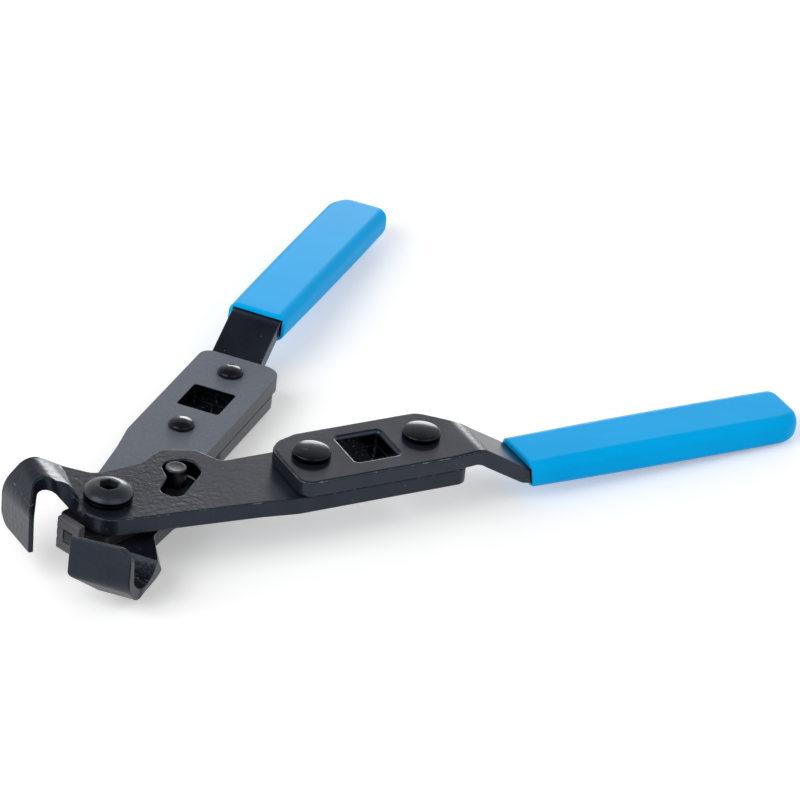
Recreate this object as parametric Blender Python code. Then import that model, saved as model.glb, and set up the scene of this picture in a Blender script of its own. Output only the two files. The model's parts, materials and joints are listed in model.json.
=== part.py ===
"""Ear clamp pliers: two crossed halves on one pivot screw, with a press block between the jaws.

A half is drawn lying flat in its own frame. The pivot's axis is Z, X runs along the handle,
Y points to the other handle and Z points out from the plane between the two halves. The lower
half is the same set of pieces, turned over about the line that lies midway between the handles,
but its handle is set a little down and out. All sizes are in metres.
"""
import math

import bmesh
import bpy
from mathutils import Matrix, Vector

# Motion
OPEN_HALF_ANGLE = math.radians(20.39)
CLOSED_HALF_ANGLE = math.radians(0.39)
PIN_REACH_OPEN = 0.0267
PIN_REACH_CLOSED = 0.0211

# Fits
CLEARANCE = 0.0003
OVERRUN = 0.004
EDGE_BREAK = 0.0004
SNAP = 0.000001

# Press between the plates
SLIDE_THICKNESS = 0.0035
SLIDE_WIDTH = 0.0180
SLIDE_REAR_RADIUS = 0.0056
SLIDE_CORNER = 0.0040
PIN_DIAMETER = 0.0060
PIN_CHAMFER = 0.0004
BLOCK_FACE = 0.0150
BLOCK_THICKNESS = 0.0024
BLOCK_WIDTH = 0.0093
BLOCK_HEIGHT = 0.0100
TENON_WIDTH = 0.0040

# Jaw plate
PLATE_THICKNESS = 0.0050
PLATE_WIDTH = 0.0256
PLATE_REAR = 0.1048
PLATE_NEAR_REAR_CORNER = 0.0036
PLATE_FAR_REAR_CORNER = 0.0055
PIVOT_FRONT = (0.0096, 0.0046)
PIVOT_SIDE = (0.0045, 0.0112)
PIVOT_CORNER = 0.0080
TAPER_END = 0.0400
TAPER_SIDE = 0.0154
TAPER_STEP = 0.0110
TAPER_CORNER = 0.0080
LOBE_RADIUS = 0.0100

# Hooked jaw: a loft between the rim near the middle of the tool and the rim far from it. Each
# rim's outer line leaves the plate, goes over a peak and a shoulder and runs down to the tip. A
# peak or a shoulder is a corner: how far it lies ahead of the pivot, how far above the plate's
# outer face, and its rounding. The near rim is notched between the plate and the shoulder.
HOOK_NEAR_Y = 0.0004
HOOK_FAR_Y = 0.0199
HOOK_NOTCH = 0.0136
HOOK_TIP_DROP_NEAR = 0.0068
HOOK_TIP_DROP_FAR = 0.0078
HOOK_TIP_CORNER = 0.0048
NEAR_START = 0.0082
NEAR_PEAK = (0.0161, 0.00615, 0.0043)
NEAR_SHOULDER = (0.0232, -0.00155, 0.0018)
NEAR_TIP = 0.0228
FAR_START = 0.0052
FAR_PEAK = (0.0156, 0.00585, 0.0055)
FAR_SHOULDER = (0.0231, -0.00205, 0.0088)
FAR_TIP = 0.0227

# The hook's wall: how far behind and below the outer line's corners those of the inner line lie,
# and the inner rounding. Start and tip have the distance behind alone.
NEAR_START_WALL = 0.0004
NEAR_PEAK_WALL = (0.0015, 0.0047, 0.0036)
NEAR_SHOULDER_WALL = (0.0015, 0.0010, 0.0015)
NEAR_TIP_WALL = 0.0015
FAR_START_WALL = 0.0035
FAR_PEAK_WALL = (0.0013, 0.0036, 0.0023)
FAR_SHOULDER_WALL = (0.0034, 0.0006, 0.0031)
FAR_TIP_WALL = 0.0017

# Slanted cam slot
SLOT_END_PLAY = 0.0024
SLOT_WIDTH = 0.0066
SLOT_LEG_ANGLE = math.radians(43.0)
SLOT_TOP_PLAY = 0.0002
SLOT_SIDE_PLAY = 0.0004
SLOT_POCKET = 0.0059
SLOT_POCKET_CORNER = 0.0040
SLOT_NOTCH_BACK = 0.00453
SLOT_NOTCH_DROP = 0.00405
SLOT_NOTCH_RADIUS = 0.0005

# Handle bar
BAR_THICKNESS = 0.0047
BAR_FRONT = 0.0511
BAR_OVERHANG = 0.0006
BAR_FAR = 0.0083
BAR_FRONT_CORNER = 0.0036
BAR_SHOULDER = (0.0600, 0.0090)
BAR_SHOULDER_CORNER = 0.0050
BAR_STEP_START = 0.1005
BAR_STEP_END = 0.1085
BAR_STEP_CORNER = 0.0045
NECK_WIDTH = 0.0155
TANG_END = 0.2040
TANG_CORNER = 0.0050
CRANK_LENGTH = 0.0202

# Set of the lower half's handle, from the crank on
LOWER_HANDLE_TILT = math.radians(3.7)
LOWER_HANDLE_SWING = math.radians(1.6)

# Square drive hole and rivets
DRIVE_LINE = 0.0043
DRIVE_X = 0.0779
DRIVE_SQUARE = 0.0132
DRIVE_CORNER = 0.0009
RIVET_FRONT_X = 0.0601
RIVET_REAR_X = 0.0949
RIVET_SHANK = 0.0060
RIVET_HEAD = 0.0111
RIVET_HEAD_HEIGHT = 0.0022
RIVET_HEAD_CHAMFER = 0.0007
RIVET_CROWN = 0.00023
RIVET_FOOT = 0.0076
RIVET_FOOT_HEIGHT = 0.0014

# Grip
GRIP_END = 0.2178
GRIP_WALL = 0.0011
GRIP_FLARE = 0.0003
GRIP_THICKNESS = 0.0100
GRIP_CORNER = 0.0036
GRIP_END_CORNER_FAR = 0.0035
GRIP_END_CORNER_NEAR = 0.0090
GRIP_END_ROUND = 0.0034
GRIP_LIP = 0.0006

# Pivot
SCREW_SHANK = 0.0080
SCREW_HEAD = 0.0148
SCREW_HEAD_HEIGHT = 0.0038
SCREW_HEAD_RIM = 0.0007
SCREW_SOCKET = 0.0050
SCREW_SOCKET_DEPTH = 0.0026
SCREW_TIP = 0.0008
SCREW_DOME_FIRST = math.radians(12.0)
SCREW_DOME_LAST = math.radians(62.0)
WASHER_DIAMETER = 0.0160
WASHER_THICKNESS = 0.0013
NUT_FLATS = 0.0130
NUT_HEIGHT = 0.0055
NUT_CHAMFER = 0.0008
BUSH_DIAMETER = 0.0130
BUSH_FLAT_DEPTH = 0.0010

# Fineness of round shapes
ARC_STEP = math.radians(12.0)
TURN_STEPS = 32
PEAK_STEPS = 8
SHOULDER_STEPS = 3
CRANK_STEPS = 10
DOME_STEPS = 5
BUSH_STEPS = 10
GRIP_STEPS = 10
GRIP_END_STEPS = 6
RESTING_STEPS = 5

# What the tool lies on
RESTING_PIECES = ("pivot_screw", "rivet_lower_rear", "grip_upper")

# Places that follow from the sizes above
HALF_GAP = SLIDE_THICKNESS / 2 + CLEARANCE
PLATE_TOP = HALF_GAP + PLATE_THICKNESS
BAR_BOTTOM = PLATE_TOP + CLEARANCE
BAR_TOP = BAR_BOTTOM + BAR_THICKNESS
PLATE_NEAR = -DRIVE_LINE - PLATE_WIDTH / 2
PLATE_FAR = -DRIVE_LINE + PLATE_WIDTH / 2
BAR_NEAR = PLATE_NEAR - BAR_OVERHANG
NECK_FAR = BAR_NEAR + NECK_WIDTH
CRANK_START = PLATE_REAR
GRIP_START = CRANK_START + CRANK_LENGTH
GRIP_AXIS = -BAR_NEAR - NECK_WIDTH / 2
GRIP_WIDTH = NECK_WIDTH + 2 * GRIP_WALL
PIN_X = PIN_REACH_OPEN * math.cos(OPEN_HALF_ANGLE)
PIN_Y = PIN_REACH_OPEN * math.sin(OPEN_HALF_ANGLE)
PIN_CLOSED_X = PIN_REACH_CLOSED * math.cos(CLOSED_HALF_ANGLE)
PIN_CLOSED_Y = PIN_REACH_CLOSED * math.sin(CLOSED_HALF_ANGLE)
PRESS_TRAVEL = PIN_REACH_OPEN - PIN_REACH_CLOSED
BUSH_FLATS = BUSH_DIAMETER - 2 * BUSH_FLAT_DEPTH

# Corners of the lobe around the slot, seen from the pin, as shares of the lobe's radius:
# along, across and the radius of the corner
LOBE_CORNER_SHARES = ((0.91, 0.64, 0.50), (-0.05, 0.98, 0.60), (-0.76, 0.46, 1.00), (-2.32, 0.41, 0.50))
LOBE_REAR_SHARE = 1.35
LOBE_REAR_CORNER_SHARE = 0.35

# Places across the hook, from the near rim to the far one
HOOK_ACROSS_SHARES = (0.0, 0.3, 0.6, 0.76, 0.84, 0.9, 0.95, 0.985, 1.0)

# The longest part of a leg that a corner's rounding takes, and of the crank that each bend takes
ROUNDED_LEG_SHARE = 0.48
CRANK_BEND_SHARE = 0.2

# The dome on a rivet's foot: across and down
RIVET_FOOT_SHARES = ((0.0, 1.0), (0.45, 0.92), (0.78, 0.66), (0.96, 0.28), (1.0, 0.0))

BLACK_STEEL = ("black_steel", (0.045, 0.050, 0.058, 1.0), 0.38, 0.75)
GREY_STEEL = ("grey_steel", (0.070, 0.075, 0.082, 1.0), 0.42, 0.75)
GLOSS_BLACK = ("gloss_black", (0.020, 0.021, 0.024, 1.0), 0.22, 0.60)
BRIGHT_STEEL = ("bright_steel", (0.480, 0.490, 0.500, 1.0), 0.30, 0.95)
BLUE_VINYL = ("blue_vinyl", (0.005, 0.300, 0.800, 1.0), 0.35, 0.0)


def clear_scene():
    for item in list(bpy.data.objects):
        bpy.data.objects.remove(item)


def material(spec):
    name, colour, roughness, metallic = spec
    if name in bpy.data.materials:
        return bpy.data.materials[name]
    result = bpy.data.materials.new(name)
    result.use_nodes = True
    shader = result.node_tree.nodes["Principled BSDF"]
    shader.inputs["Base Color"].default_value = colour
    shader.inputs["Roughness"].default_value = roughness
    shader.inputs["Metallic"].default_value = metallic
    return result


def empty(name, parent=None, matrix=None):
    result = bpy.data.objects.new(name, None)
    bpy.context.scene.collection.objects.link(result)
    result.parent = parent
    if matrix is not None:
        result.matrix_local = matrix
    return result


def make_object(name, shape, finish, parent):
    bmesh.ops.recalc_face_normals(shape, faces=shape.faces)
    mesh = bpy.data.meshes.new(name)
    shape.to_mesh(mesh)
    shape.free()
    mesh.shade_smooth()
    mesh.set_sharp_from_angle(angle=math.radians(35.0))
    result = bpy.data.objects.new(name, mesh)
    bpy.context.scene.collection.objects.link(result)
    result.parent = parent
    if finish is not None:
        mesh.materials.append(material(finish))
    return result


def make_cutter(name, shape, parent):
    result = make_object(name, shape, None, parent)
    result.hide_render = True
    result.display_type = "WIRE"
    return result


def boolean(target, other, operation="DIFFERENCE"):
    step = target.modifiers.new(other.name, "BOOLEAN")
    step.operation = operation
    step.solver = "EXACT"
    step.object = other


def break_edges(target, width=EDGE_BREAK, segments=2):
    step = target.modifiers.new("edge_break", "BEVEL")
    step.width = width
    step.segments = segments
    step.limit_method = "ANGLE"
    step.angle_limit = math.radians(50.0)


def rounded_outline(corners):
    """A closed outline whose corners, each given as x, y and radius, are rounded by arcs."""
    points = []
    for index, (x, y, radius) in enumerate(corners):
        corner = Vector((x, y))
        back = Vector(corners[index - 1][:2]) - corner
        ahead = Vector(corners[(index + 1) % len(corners)][:2]) - corner
        if radius == 0:
            points.append(corner)
            continue
        half = back.angle(ahead) / 2
        reach = min(radius / math.tan(half), ROUNDED_LEG_SHARE * min(back.length, ahead.length))
        radius = reach * math.tan(half)
        centre = corner + (back.normalized() + ahead.normalized()).normalized() * (radius / math.sin(half))
        start = corner + back.normalized() * reach - centre
        turn = math.copysign(math.pi - 2 * half, back.cross(ahead) * -1)
        steps = max(2, math.ceil(abs(turn) / ARC_STEP))
        for step in range(steps + 1):
            points.append(centre + Matrix.Rotation(turn * step / steps, 2) @ start)
    return points


def prism(points, bottom, top):
    shape = bmesh.new()
    face = shape.faces.new([shape.verts.new((x, y, bottom)) for x, y in points])
    raised = bmesh.ops.extrude_face_region(shape, geom=[face])["geom"]
    moved = [item for item in raised if isinstance(item, bmesh.types.BMVert)]
    bmesh.ops.translate(shape, verts=moved, vec=(0, 0, top - bottom))
    return shape


def turned(profile, closed=False):
    """A solid of revolution about Z. The profile is a list of radius and height. A closed profile
    makes a ring; an open one starts and ends on the axis."""
    shape = bmesh.new()
    rings = []
    for radius, height in profile:
        if radius == 0:
            rings.append([shape.verts.new((0, 0, height))])
            continue
        ring = []
        for step in range(TURN_STEPS):
            angle = 2 * math.pi * step / TURN_STEPS
            ring.append(shape.verts.new((radius * math.cos(angle), radius * math.sin(angle), height)))
        rings.append(ring)
    pairs = list(zip(rings, rings[1:]))
    if closed:
        pairs.append((rings[-1], rings[0]))
    for lower, upper in pairs:
        for step in range(TURN_STEPS):
            after = (step + 1) % TURN_STEPS
            corners = [lower[step % len(lower)], lower[after % len(lower)]]
            corners += [upper[after % len(upper)], upper[step % len(upper)]]
            shape.faces.new(list(dict.fromkeys(corners)))
    return shape


def arc(centre, radius, first, last, steps):
    """Points of an arc, both ends included."""
    result = []
    for step in range(steps + 1):
        angle = first + (last - first) * step / steps
        result.append((centre[0] + radius * math.cos(angle), centre[1] + radius * math.sin(angle)))
    return result


def round_hole(name, diameter, x, y, parent):
    radius = diameter / 2 + CLEARANCE
    shape = turned([(0, -OVERRUN), (radius, -OVERRUN), (radius, BAR_TOP + OVERRUN), (0, BAR_TOP + OVERRUN)])
    cutter = make_cutter(name, shape, parent)
    cutter.location = (x, y, 0)
    return cutter


def drive_hole(name, parent):
    half = DRIVE_SQUARE / 2
    corners = [(DRIVE_X + sx * half, -DRIVE_LINE + sy * half, DRIVE_CORNER)
               for sx, sy in ((-1, -1), (1, -1), (1, 1), (-1, 1))]
    return make_cutter(name, prism(rounded_outline(corners), -OVERRUN, BAR_TOP + OVERRUN), parent)


def slot_outline():
    """The slot's short upper pocket, which holds the pin when the tool is open, and its slanted leg."""
    along = Vector((math.cos(SLOT_LEG_ANGLE), math.sin(SLOT_LEG_ANGLE)))
    across = Vector((-along.y, along.x))
    half = SLOT_WIDTH / 2
    end = Vector((PIN_CLOSED_X, PIN_CLOSED_Y)) - along * (SLOT_END_PLAY + half)
    near_end = end - across * half
    far_end = end + across * half
    left = PIN_X - PIN_DIAMETER / 2 - SLOT_SIDE_PLAY
    top = PIN_Y + PIN_DIAMETER / 2 + SLOT_TOP_PLAY
    right = PIN_X + SLOT_POCKET
    wall = near_end + along * ((right - near_end.x) / along.x)
    return rounded_outline([
        (left, top, PIN_DIAMETER / 2 + SLOT_TOP_PLAY),
        (PIN_X - SLOT_NOTCH_BACK, PIN_Y - SLOT_NOTCH_DROP, SLOT_NOTCH_RADIUS),
        (far_end.x, far_end.y, half),
        (near_end.x, near_end.y, half),
        (wall.x, wall.y, SLOT_POCKET_CORNER),
        (right, top, SLOT_POCKET_CORNER),
    ])


def plate_outline():
    """The flat of the jaw plate, from the near end of the bend line round to its far end."""
    lobe = [(PIN_X + along * LOBE_RADIUS, PIN_Y + across * LOBE_RADIUS, corner * LOBE_RADIUS)
            for along, across, corner in LOBE_CORNER_SHARES]
    corners = [
        (-NEAR_START, HOOK_NEAR_Y, 0),
        (-PIVOT_FRONT[0], -PIVOT_FRONT[1], PIVOT_CORNER),
        (-PIVOT_SIDE[0], -PIVOT_SIDE[1], PIVOT_CORNER),
        (TAPER_END, -TAPER_SIDE, TAPER_CORNER),
        (TAPER_END + TAPER_STEP, PLATE_NEAR, TAPER_CORNER),
        (PLATE_REAR, PLATE_NEAR, PLATE_NEAR_REAR_CORNER),
        (PLATE_REAR, PLATE_FAR, PLATE_FAR_REAR_CORNER),
        (PIN_X + LOBE_REAR_SHARE * LOBE_RADIUS, PLATE_FAR, LOBE_REAR_CORNER_SHARE * LOBE_RADIUS),
        *lobe,
        (-FAR_START, HOOK_FAR_Y, 0),
    ]
    return rounded_outline(corners)


def rounded_line(first, corners, last):
    """An open line in space. Each of its inner corners, given as a place, a radius and a number of
    steps, is rounded by an arc."""
    points = [first]
    places = [first] + [place for place, radius, steps in corners] + [last]
    for index, (corner, radius, steps) in enumerate(corners):
        back = places[index] - corner
        ahead = places[index + 2] - corner
        half = back.angle(ahead) / 2
        reach = min(radius / math.tan(half), ROUNDED_LEG_SHARE * min(back.length, ahead.length))
        middle = (back.normalized() + ahead.normalized()).normalized()
        centre = corner + middle * (reach / math.cos(half))
        start = corner + back.normalized() * reach - centre
        turn = math.pi - 2 * half
        for step in range(steps + 1):
            points.append(centre + Matrix.Rotation(turn * step / steps, 3, ahead.cross(back)) @ start)
    points.append(last)
    return points


def hook_lines(y, notch, start, peak, shoulder, tip, drop, walls):
    """The outer and the inner line of one rim of the hook, from the plate to the tip."""
    start_wall, peak_wall, shoulder_wall, tip_wall = walls
    peak_x, peak_rise, peak_radius = peak
    shoulder_x, shoulder_rise, shoulder_radius = shoulder
    outer = rounded_line(Vector((-start, y, PLATE_TOP)), [
        (Vector((-peak_x, y + notch, PLATE_TOP + peak_rise)), peak_radius, PEAK_STEPS),
        (Vector((-shoulder_x, y, PLATE_TOP + shoulder_rise)), shoulder_radius, SHOULDER_STEPS),
    ], Vector((-tip, y, -drop)))
    inner = rounded_line(Vector((-start - start_wall, y, HALF_GAP)), [
        (Vector((peak_wall[0] - peak_x, y + notch, PLATE_TOP + peak_rise - peak_wall[1])),
         peak_wall[2], PEAK_STEPS),
        (Vector((shoulder_wall[0] - shoulder_x, y, PLATE_TOP + shoulder_rise - shoulder_wall[1])),
         shoulder_wall[2], SHOULDER_STEPS),
    ], Vector((tip_wall - tip, y, -drop)))
    return outer, inner


def hook_sections():
    """The hook's cross-sections from the bend line to the tip, each a row of outer points and
    a row of inner points across the jaw."""
    near_lines = hook_lines(HOOK_NEAR_Y, HOOK_NOTCH, NEAR_START, NEAR_PEAK, NEAR_SHOULDER, NEAR_TIP,
                            HOOK_TIP_DROP_NEAR,
                            (NEAR_START_WALL, NEAR_PEAK_WALL, NEAR_SHOULDER_WALL, NEAR_TIP_WALL))
    far_lines = hook_lines(HOOK_FAR_Y, 0, FAR_START, FAR_PEAK, FAR_SHOULDER, FAR_TIP,
                           HOOK_TIP_DROP_FAR,
                           (FAR_START_WALL, FAR_PEAK_WALL, FAR_SHOULDER_WALL, FAR_TIP_WALL))
    width = HOOK_FAR_Y - HOOK_NEAR_Y
    last = len(near_lines[0]) - 1
    sections = []
    for index in range(last + 1):
        rows = []
        for near, far in zip(near_lines, far_lines):
            row = []
            for share in HOOK_ACROSS_SHARES:
                point = near[index].lerp(far[index], share)
                if index == last:
                    above = near[index - 1].lerp(far[index - 1], share)
                    inside = max(0, HOOK_TIP_CORNER - width * (1 - share))
                    rise = HOOK_TIP_CORNER - math.sqrt(HOOK_TIP_CORNER ** 2 - inside ** 2)
                    point = point.lerp(above, rise / (above - point).length)
                row.append(point)
            rows.append(row)
        sections.append(rows)
    return sections


def jaw_plate_shape():
    outline = plate_outline()
    shape = bmesh.new()
    sections = hook_sections()
    outer = [[shape.verts.new(point) for point in rows[0]] for rows in sections]
    inner = [[shape.verts.new(point) for point in rows[1]] for rows in sections]
    middle = outline[1:-1]
    top = [outer[0][0]] + [shape.verts.new((x, y, PLATE_TOP)) for x, y in middle] + [outer[0][-1]]
    bottom = [inner[0][0]] + [shape.verts.new((x, y, HALF_GAP)) for x, y in middle] + [inner[0][-1]]
    shape.faces.new(top + outer[0][-2:0:-1])
    shape.faces.new((bottom + inner[0][-2:0:-1])[::-1])
    for index in range(len(top) - 1):
        shape.faces.new((bottom[index], bottom[index + 1], top[index + 1], top[index]))
    for before, after in zip(range(len(outer) - 1), range(1, len(outer))):
        for across in range(len(HOOK_ACROSS_SHARES) - 1):
            following = across + 1
            shape.faces.new((outer[before][across], outer[before][following],
                             outer[after][following], outer[after][across]))
            shape.faces.new((inner[before][across], inner[after][across],
                             inner[after][following], inner[before][following]))
        shape.faces.new((outer[before][0], outer[after][0], inner[after][0], inner[before][0]))
        shape.faces.new((outer[before][-1], inner[before][-1], inner[after][-1], outer[after][-1]))
    for across in range(len(HOOK_ACROSS_SHARES) - 1):
        shape.faces.new((outer[-1][across], outer[-1][across + 1], inner[-1][across + 1], inner[-1][across]))
    return shape


def bar_outline():
    return rounded_outline([
        (BAR_FRONT, BAR_NEAR, BAR_FRONT_CORNER),
        (TANG_END, BAR_NEAR, TANG_CORNER),
        (TANG_END, NECK_FAR, TANG_CORNER),
        (BAR_STEP_END, NECK_FAR, BAR_STEP_CORNER),
        (BAR_STEP_START, BAR_FAR, BAR_STEP_CORNER),
        (BAR_SHOULDER[0], BAR_FAR, BAR_SHOULDER_CORNER),
        (BAR_FRONT, BAR_FAR - (BAR_SHOULDER[0] - BAR_FRONT) / 2, BAR_SHOULDER_CORNER),
    ])


def crank(x):
    """Height of the bar's middle and the slope of the bar at a place along it: a straight run
    down with a bend at each end."""
    drop = BAR_BOTTOM + BAR_THICKNESS / 2
    bend = CRANK_BEND_SHARE
    share = min(1, max(0, (x - CRANK_START) / CRANK_LENGTH))
    end = min(share, 1 - share)
    if end < bend:
        fallen = end * end / (2 * bend * (1 - bend))
    else:
        fallen = (end - bend / 2) / (1 - bend)
    if share > 0.5:
        fallen = 1 - fallen
    slope = -drop / CRANK_LENGTH * min(end, bend) / (bend * (1 - bend))
    return drop * (1 - fallen), slope


def set_handle(shape, tilt, swing):
    """Bends a handle's shape outward and away from the other handle, from the crank on."""
    for vert in shape.verts:
        into = max(0, vert.co.x - CRANK_START)
        if into < CRANK_LENGTH:
            reach = into * into / (2 * CRANK_LENGTH)
        else:
            reach = into - CRANK_LENGTH / 2
        vert.co.z += reach * math.tan(tilt)
        vert.co.y -= reach * math.tan(swing)
    return shape


def handle_bar_shape():
    half = BAR_THICKNESS / 2
    shape = prism(bar_outline(), -half, half)
    for step in range(CRANK_STEPS + 1):
        place = CRANK_START + CRANK_LENGTH * step / CRANK_STEPS
        everything = list(shape.verts) + list(shape.edges) + list(shape.faces)
        bmesh.ops.bisect_plane(shape, geom=everything, dist=SNAP,
                               plane_co=(place, 0, 0), plane_no=(1, 0, 0))
    for vert in shape.verts:
        height, slope = crank(vert.co.x)
        vert.co.z = height + vert.co.z / math.cos(math.atan(slope))
    return shape


def grip_shape():
    """A moulded sleeve: rounded cross-sections along the handle, with an uneven rounded end."""
    half = GRIP_WIDTH / 2
    longest = max(GRIP_END_CORNER_FAR, GRIP_END_CORNER_NEAR, GRIP_END_ROUND)
    places = [GRIP_START, GRIP_START + GRIP_LIP]
    body_end = GRIP_END - longest
    for step in range(1, GRIP_STEPS + 1):
        places.append(GRIP_START + GRIP_LIP + (body_end - GRIP_START - GRIP_LIP) * step / GRIP_STEPS)
    for step in range(1, GRIP_END_STEPS + 1):
        places.append(body_end + longest * math.sin(math.pi / 2 * step / GRIP_END_STEPS))

    def rounding(place, radius):
        into = max(0, place - (GRIP_END - radius))
        return radius - math.sqrt(max(0, radius * radius - into * into))

    shape = bmesh.new()
    rings = []
    for place in places:
        share = (place - GRIP_START) / (GRIP_END - GRIP_START)
        flare = GRIP_FLARE * share * share
        lip = GRIP_LIP if place == GRIP_START else 0
        far = -GRIP_AXIS + half + flare - rounding(place, GRIP_END_CORNER_FAR) - lip
        near = -GRIP_AXIS - half - flare + rounding(place, GRIP_END_CORNER_NEAR) + lip
        high = GRIP_THICKNESS / 2 - rounding(place, GRIP_END_ROUND) - lip
        corner = min(GRIP_CORNER, high)
        section = []
        for sy, sz, first in ((1, 1, 0), (-1, 1, 90), (-1, -1, 180), (1, -1, 270)):
            y = (far if sy > 0 else near) - sy * corner
            z = sz * (high - corner)
            section += arc((y, z), corner, math.radians(first), math.radians(first + 90), 4)
        rings.append([shape.verts.new((place, y, z)) for y, z in section])
    count = len(rings[0])
    for lower, upper in zip(rings, rings[1:]):
        for step in range(count):
            after = (step + 1) % count
            shape.faces.new((lower[step], lower[after], upper[after], upper[step]))
    shape.faces.new(rings[0][::-1])
    shape.faces.new(rings[-1])
    bmesh.ops.remove_doubles(shape, verts=shape.verts, dist=SNAP)
    return shape


def grip_hollow_shape():
    half = BAR_THICKNESS / 2 + CLEARANCE
    outline = rounded_outline([
        (GRIP_START - OVERRUN, BAR_NEAR - CLEARANCE, 0),
        (TANG_END + CLEARANCE, BAR_NEAR - CLEARANCE, TANG_CORNER),
        (TANG_END + CLEARANCE, NECK_FAR + CLEARANCE, TANG_CORNER),
        (GRIP_START - OVERRUN, NECK_FAR + CLEARANCE, 0),
    ])
    return prism(outline, -half, half)


def rivet_shape():
    """Rivet with a low chamfered head on the bar and a small dome on the plate's inner face."""
    head = RIVET_HEAD / 2
    shank = RIVET_SHANK / 2
    foot = RIVET_FOOT / 2
    head_bottom = BAR_TOP + CLEARANCE
    head_top = head_bottom + RIVET_HEAD_HEIGHT
    foot_top = HALF_GAP - CLEARANCE
    dome = [(foot * across, foot_top - RIVET_FOOT_HEIGHT * down) for across, down in RIVET_FOOT_SHARES]
    return turned([
        *dome,
        (shank, foot_top),
        (shank, head_bottom),
        (head - RIVET_HEAD_CHAMFER / 2, head_bottom),
        (head, head_bottom + RIVET_HEAD_CHAMFER / 2),
        (head, head_top - RIVET_HEAD_CHAMFER),
        (head - RIVET_HEAD_CHAMFER, head_top - RIVET_CROWN),
        (0, head_top),
    ])


def make_half(side, frame, tilt, swing):
    """The pieces of one half, in that half's own frame, with its handle's tilt and swing."""
    slot = make_cutter("cutter_slot_" + side, prism(slot_outline(), -OVERRUN, BAR_TOP + OVERRUN), frame)
    square = drive_hole("cutter_drive_" + side, frame)
    pivot = round_hole("cutter_pivot_" + side, SCREW_SHANK, 0, 0, frame)
    places = (("front", RIVET_FRONT_X), ("rear", RIVET_REAR_X))
    holes = [round_hole("cutter_rivet_" + place + "_" + side, RIVET_SHANK, x, -DRIVE_LINE, frame)
             for place, x in places]

    plate = make_object("jaw_plate_" + side, jaw_plate_shape(), BLACK_STEEL, frame)
    break_edges(plate)
    for cutter in [slot, square, pivot] + holes:
        boolean(plate, cutter)

    bar = make_object("handle_bar_" + side, set_handle(handle_bar_shape(), tilt, swing), GREY_STEEL, frame)
    break_edges(bar)
    for cutter in [square] + holes:
        boolean(bar, cutter)

    grip = make_object("grip_" + side, set_handle(grip_shape(), tilt, swing), BLUE_VINYL, frame)
    hollow = set_handle(grip_hollow_shape(), tilt, swing)
    boolean(grip, make_cutter("cutter_grip_" + side, hollow, frame))

    for place, x in places:
        rivet = make_object("rivet_" + side + "_" + place, rivet_shape(), GLOSS_BLACK, frame)
        rivet.location = (x, -DRIVE_LINE, 0)


def hexagon(flats):
    """A hexagon of the given width across flats, with sharp corners."""
    radius = flats / 2 / math.cos(math.pi / 6)
    return arc((0, 0), radius, 0, math.pi * 5 / 3, 5)


def make_pivot(frame, press_frame):
    shank = SCREW_SHANK / 2
    head = SCREW_HEAD / 2
    washer_bottom = PLATE_TOP + CLEARANCE
    head_bottom = washer_bottom + WASHER_THICKNESS + CLEARANCE
    head_top = head_bottom + SCREW_HEAD_HEIGHT
    nut_top = -(washer_bottom + WASHER_THICKNESS + CLEARANCE)
    nut_bottom = nut_top - NUT_HEIGHT
    dome = arc((0, 0), 1, SCREW_DOME_FIRST, SCREW_DOME_LAST, DOME_STEPS)
    dome_height = SCREW_HEAD_HEIGHT - SCREW_HEAD_RIM
    crown = [(head * across / dome[0][0], head_bottom + SCREW_HEAD_RIM
              + dome_height * (up - dome[0][1]) / (dome[-1][1] - dome[0][1])) for across, up in dome]
    screw = make_object("pivot_screw", turned([
        (0, nut_bottom - SCREW_TIP),
        (shank - SCREW_TIP, nut_bottom - SCREW_TIP),
        (shank, nut_bottom),
        (shank, head_bottom),
        (head, head_bottom),
        *crown,
        (0, head_top),
    ]), GLOSS_BLACK, frame)
    socket_bottom = head_top - SCREW_SOCKET_DEPTH
    boolean(screw, make_cutter("cutter_socket", prism(hexagon(SCREW_SOCKET), socket_bottom,
                                                      head_top + OVERRUN), frame))

    inner = shank + CLEARANCE
    outer = WASHER_DIAMETER / 2
    edge = WASHER_THICKNESS / 5
    for name, bottom in (("pivot_washer_top", washer_bottom),
                         ("pivot_washer_bottom", -washer_bottom - WASHER_THICKNESS)):
        top = bottom + WASHER_THICKNESS
        make_object(name, turned([(inner, bottom), (outer - edge, bottom), (outer, bottom + edge),
                                  (outer, top - edge), (outer - edge, top), (inner, top)], closed=True),
                    GLOSS_BLACK, frame)

    corner = NUT_FLATS / 2 / math.cos(math.pi / 6) + CLEARANCE
    flat = NUT_FLATS / 2 - NUT_CHAMFER / 4
    nut = make_object("pivot_nut", prism(hexagon(NUT_FLATS), nut_bottom, nut_top), GLOSS_BLACK, frame)
    rise = (corner - flat) * math.tan(math.pi / 6)
    cone = turned([(0, nut_bottom - OVERRUN), (flat, nut_bottom - OVERRUN), (flat, nut_bottom),
                   (corner, nut_bottom + rise), (corner, nut_top - rise), (flat, nut_top),
                   (flat, nut_top + OVERRUN), (0, nut_top + OVERRUN)])
    boolean(nut, make_cutter("cutter_nut_corners", cone, frame), "INTERSECT")
    boolean(nut, round_cutter("cutter_nut_bore", inner, nut_bottom - OVERRUN, nut_top + OVERRUN, frame))

    bush = make_object("pivot_bush", bush_shape(), BRIGHT_STEEL, press_frame)
    boolean(bush, round_cutter("cutter_bush_bore", inner, -HALF_GAP - OVERRUN, HALF_GAP + OVERRUN,
                               press_frame))


def round_cutter(name, radius, bottom, top, parent):
    return make_cutter(name, turned([(0, bottom), (radius, bottom), (radius, top), (0, top)]), parent)


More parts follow.
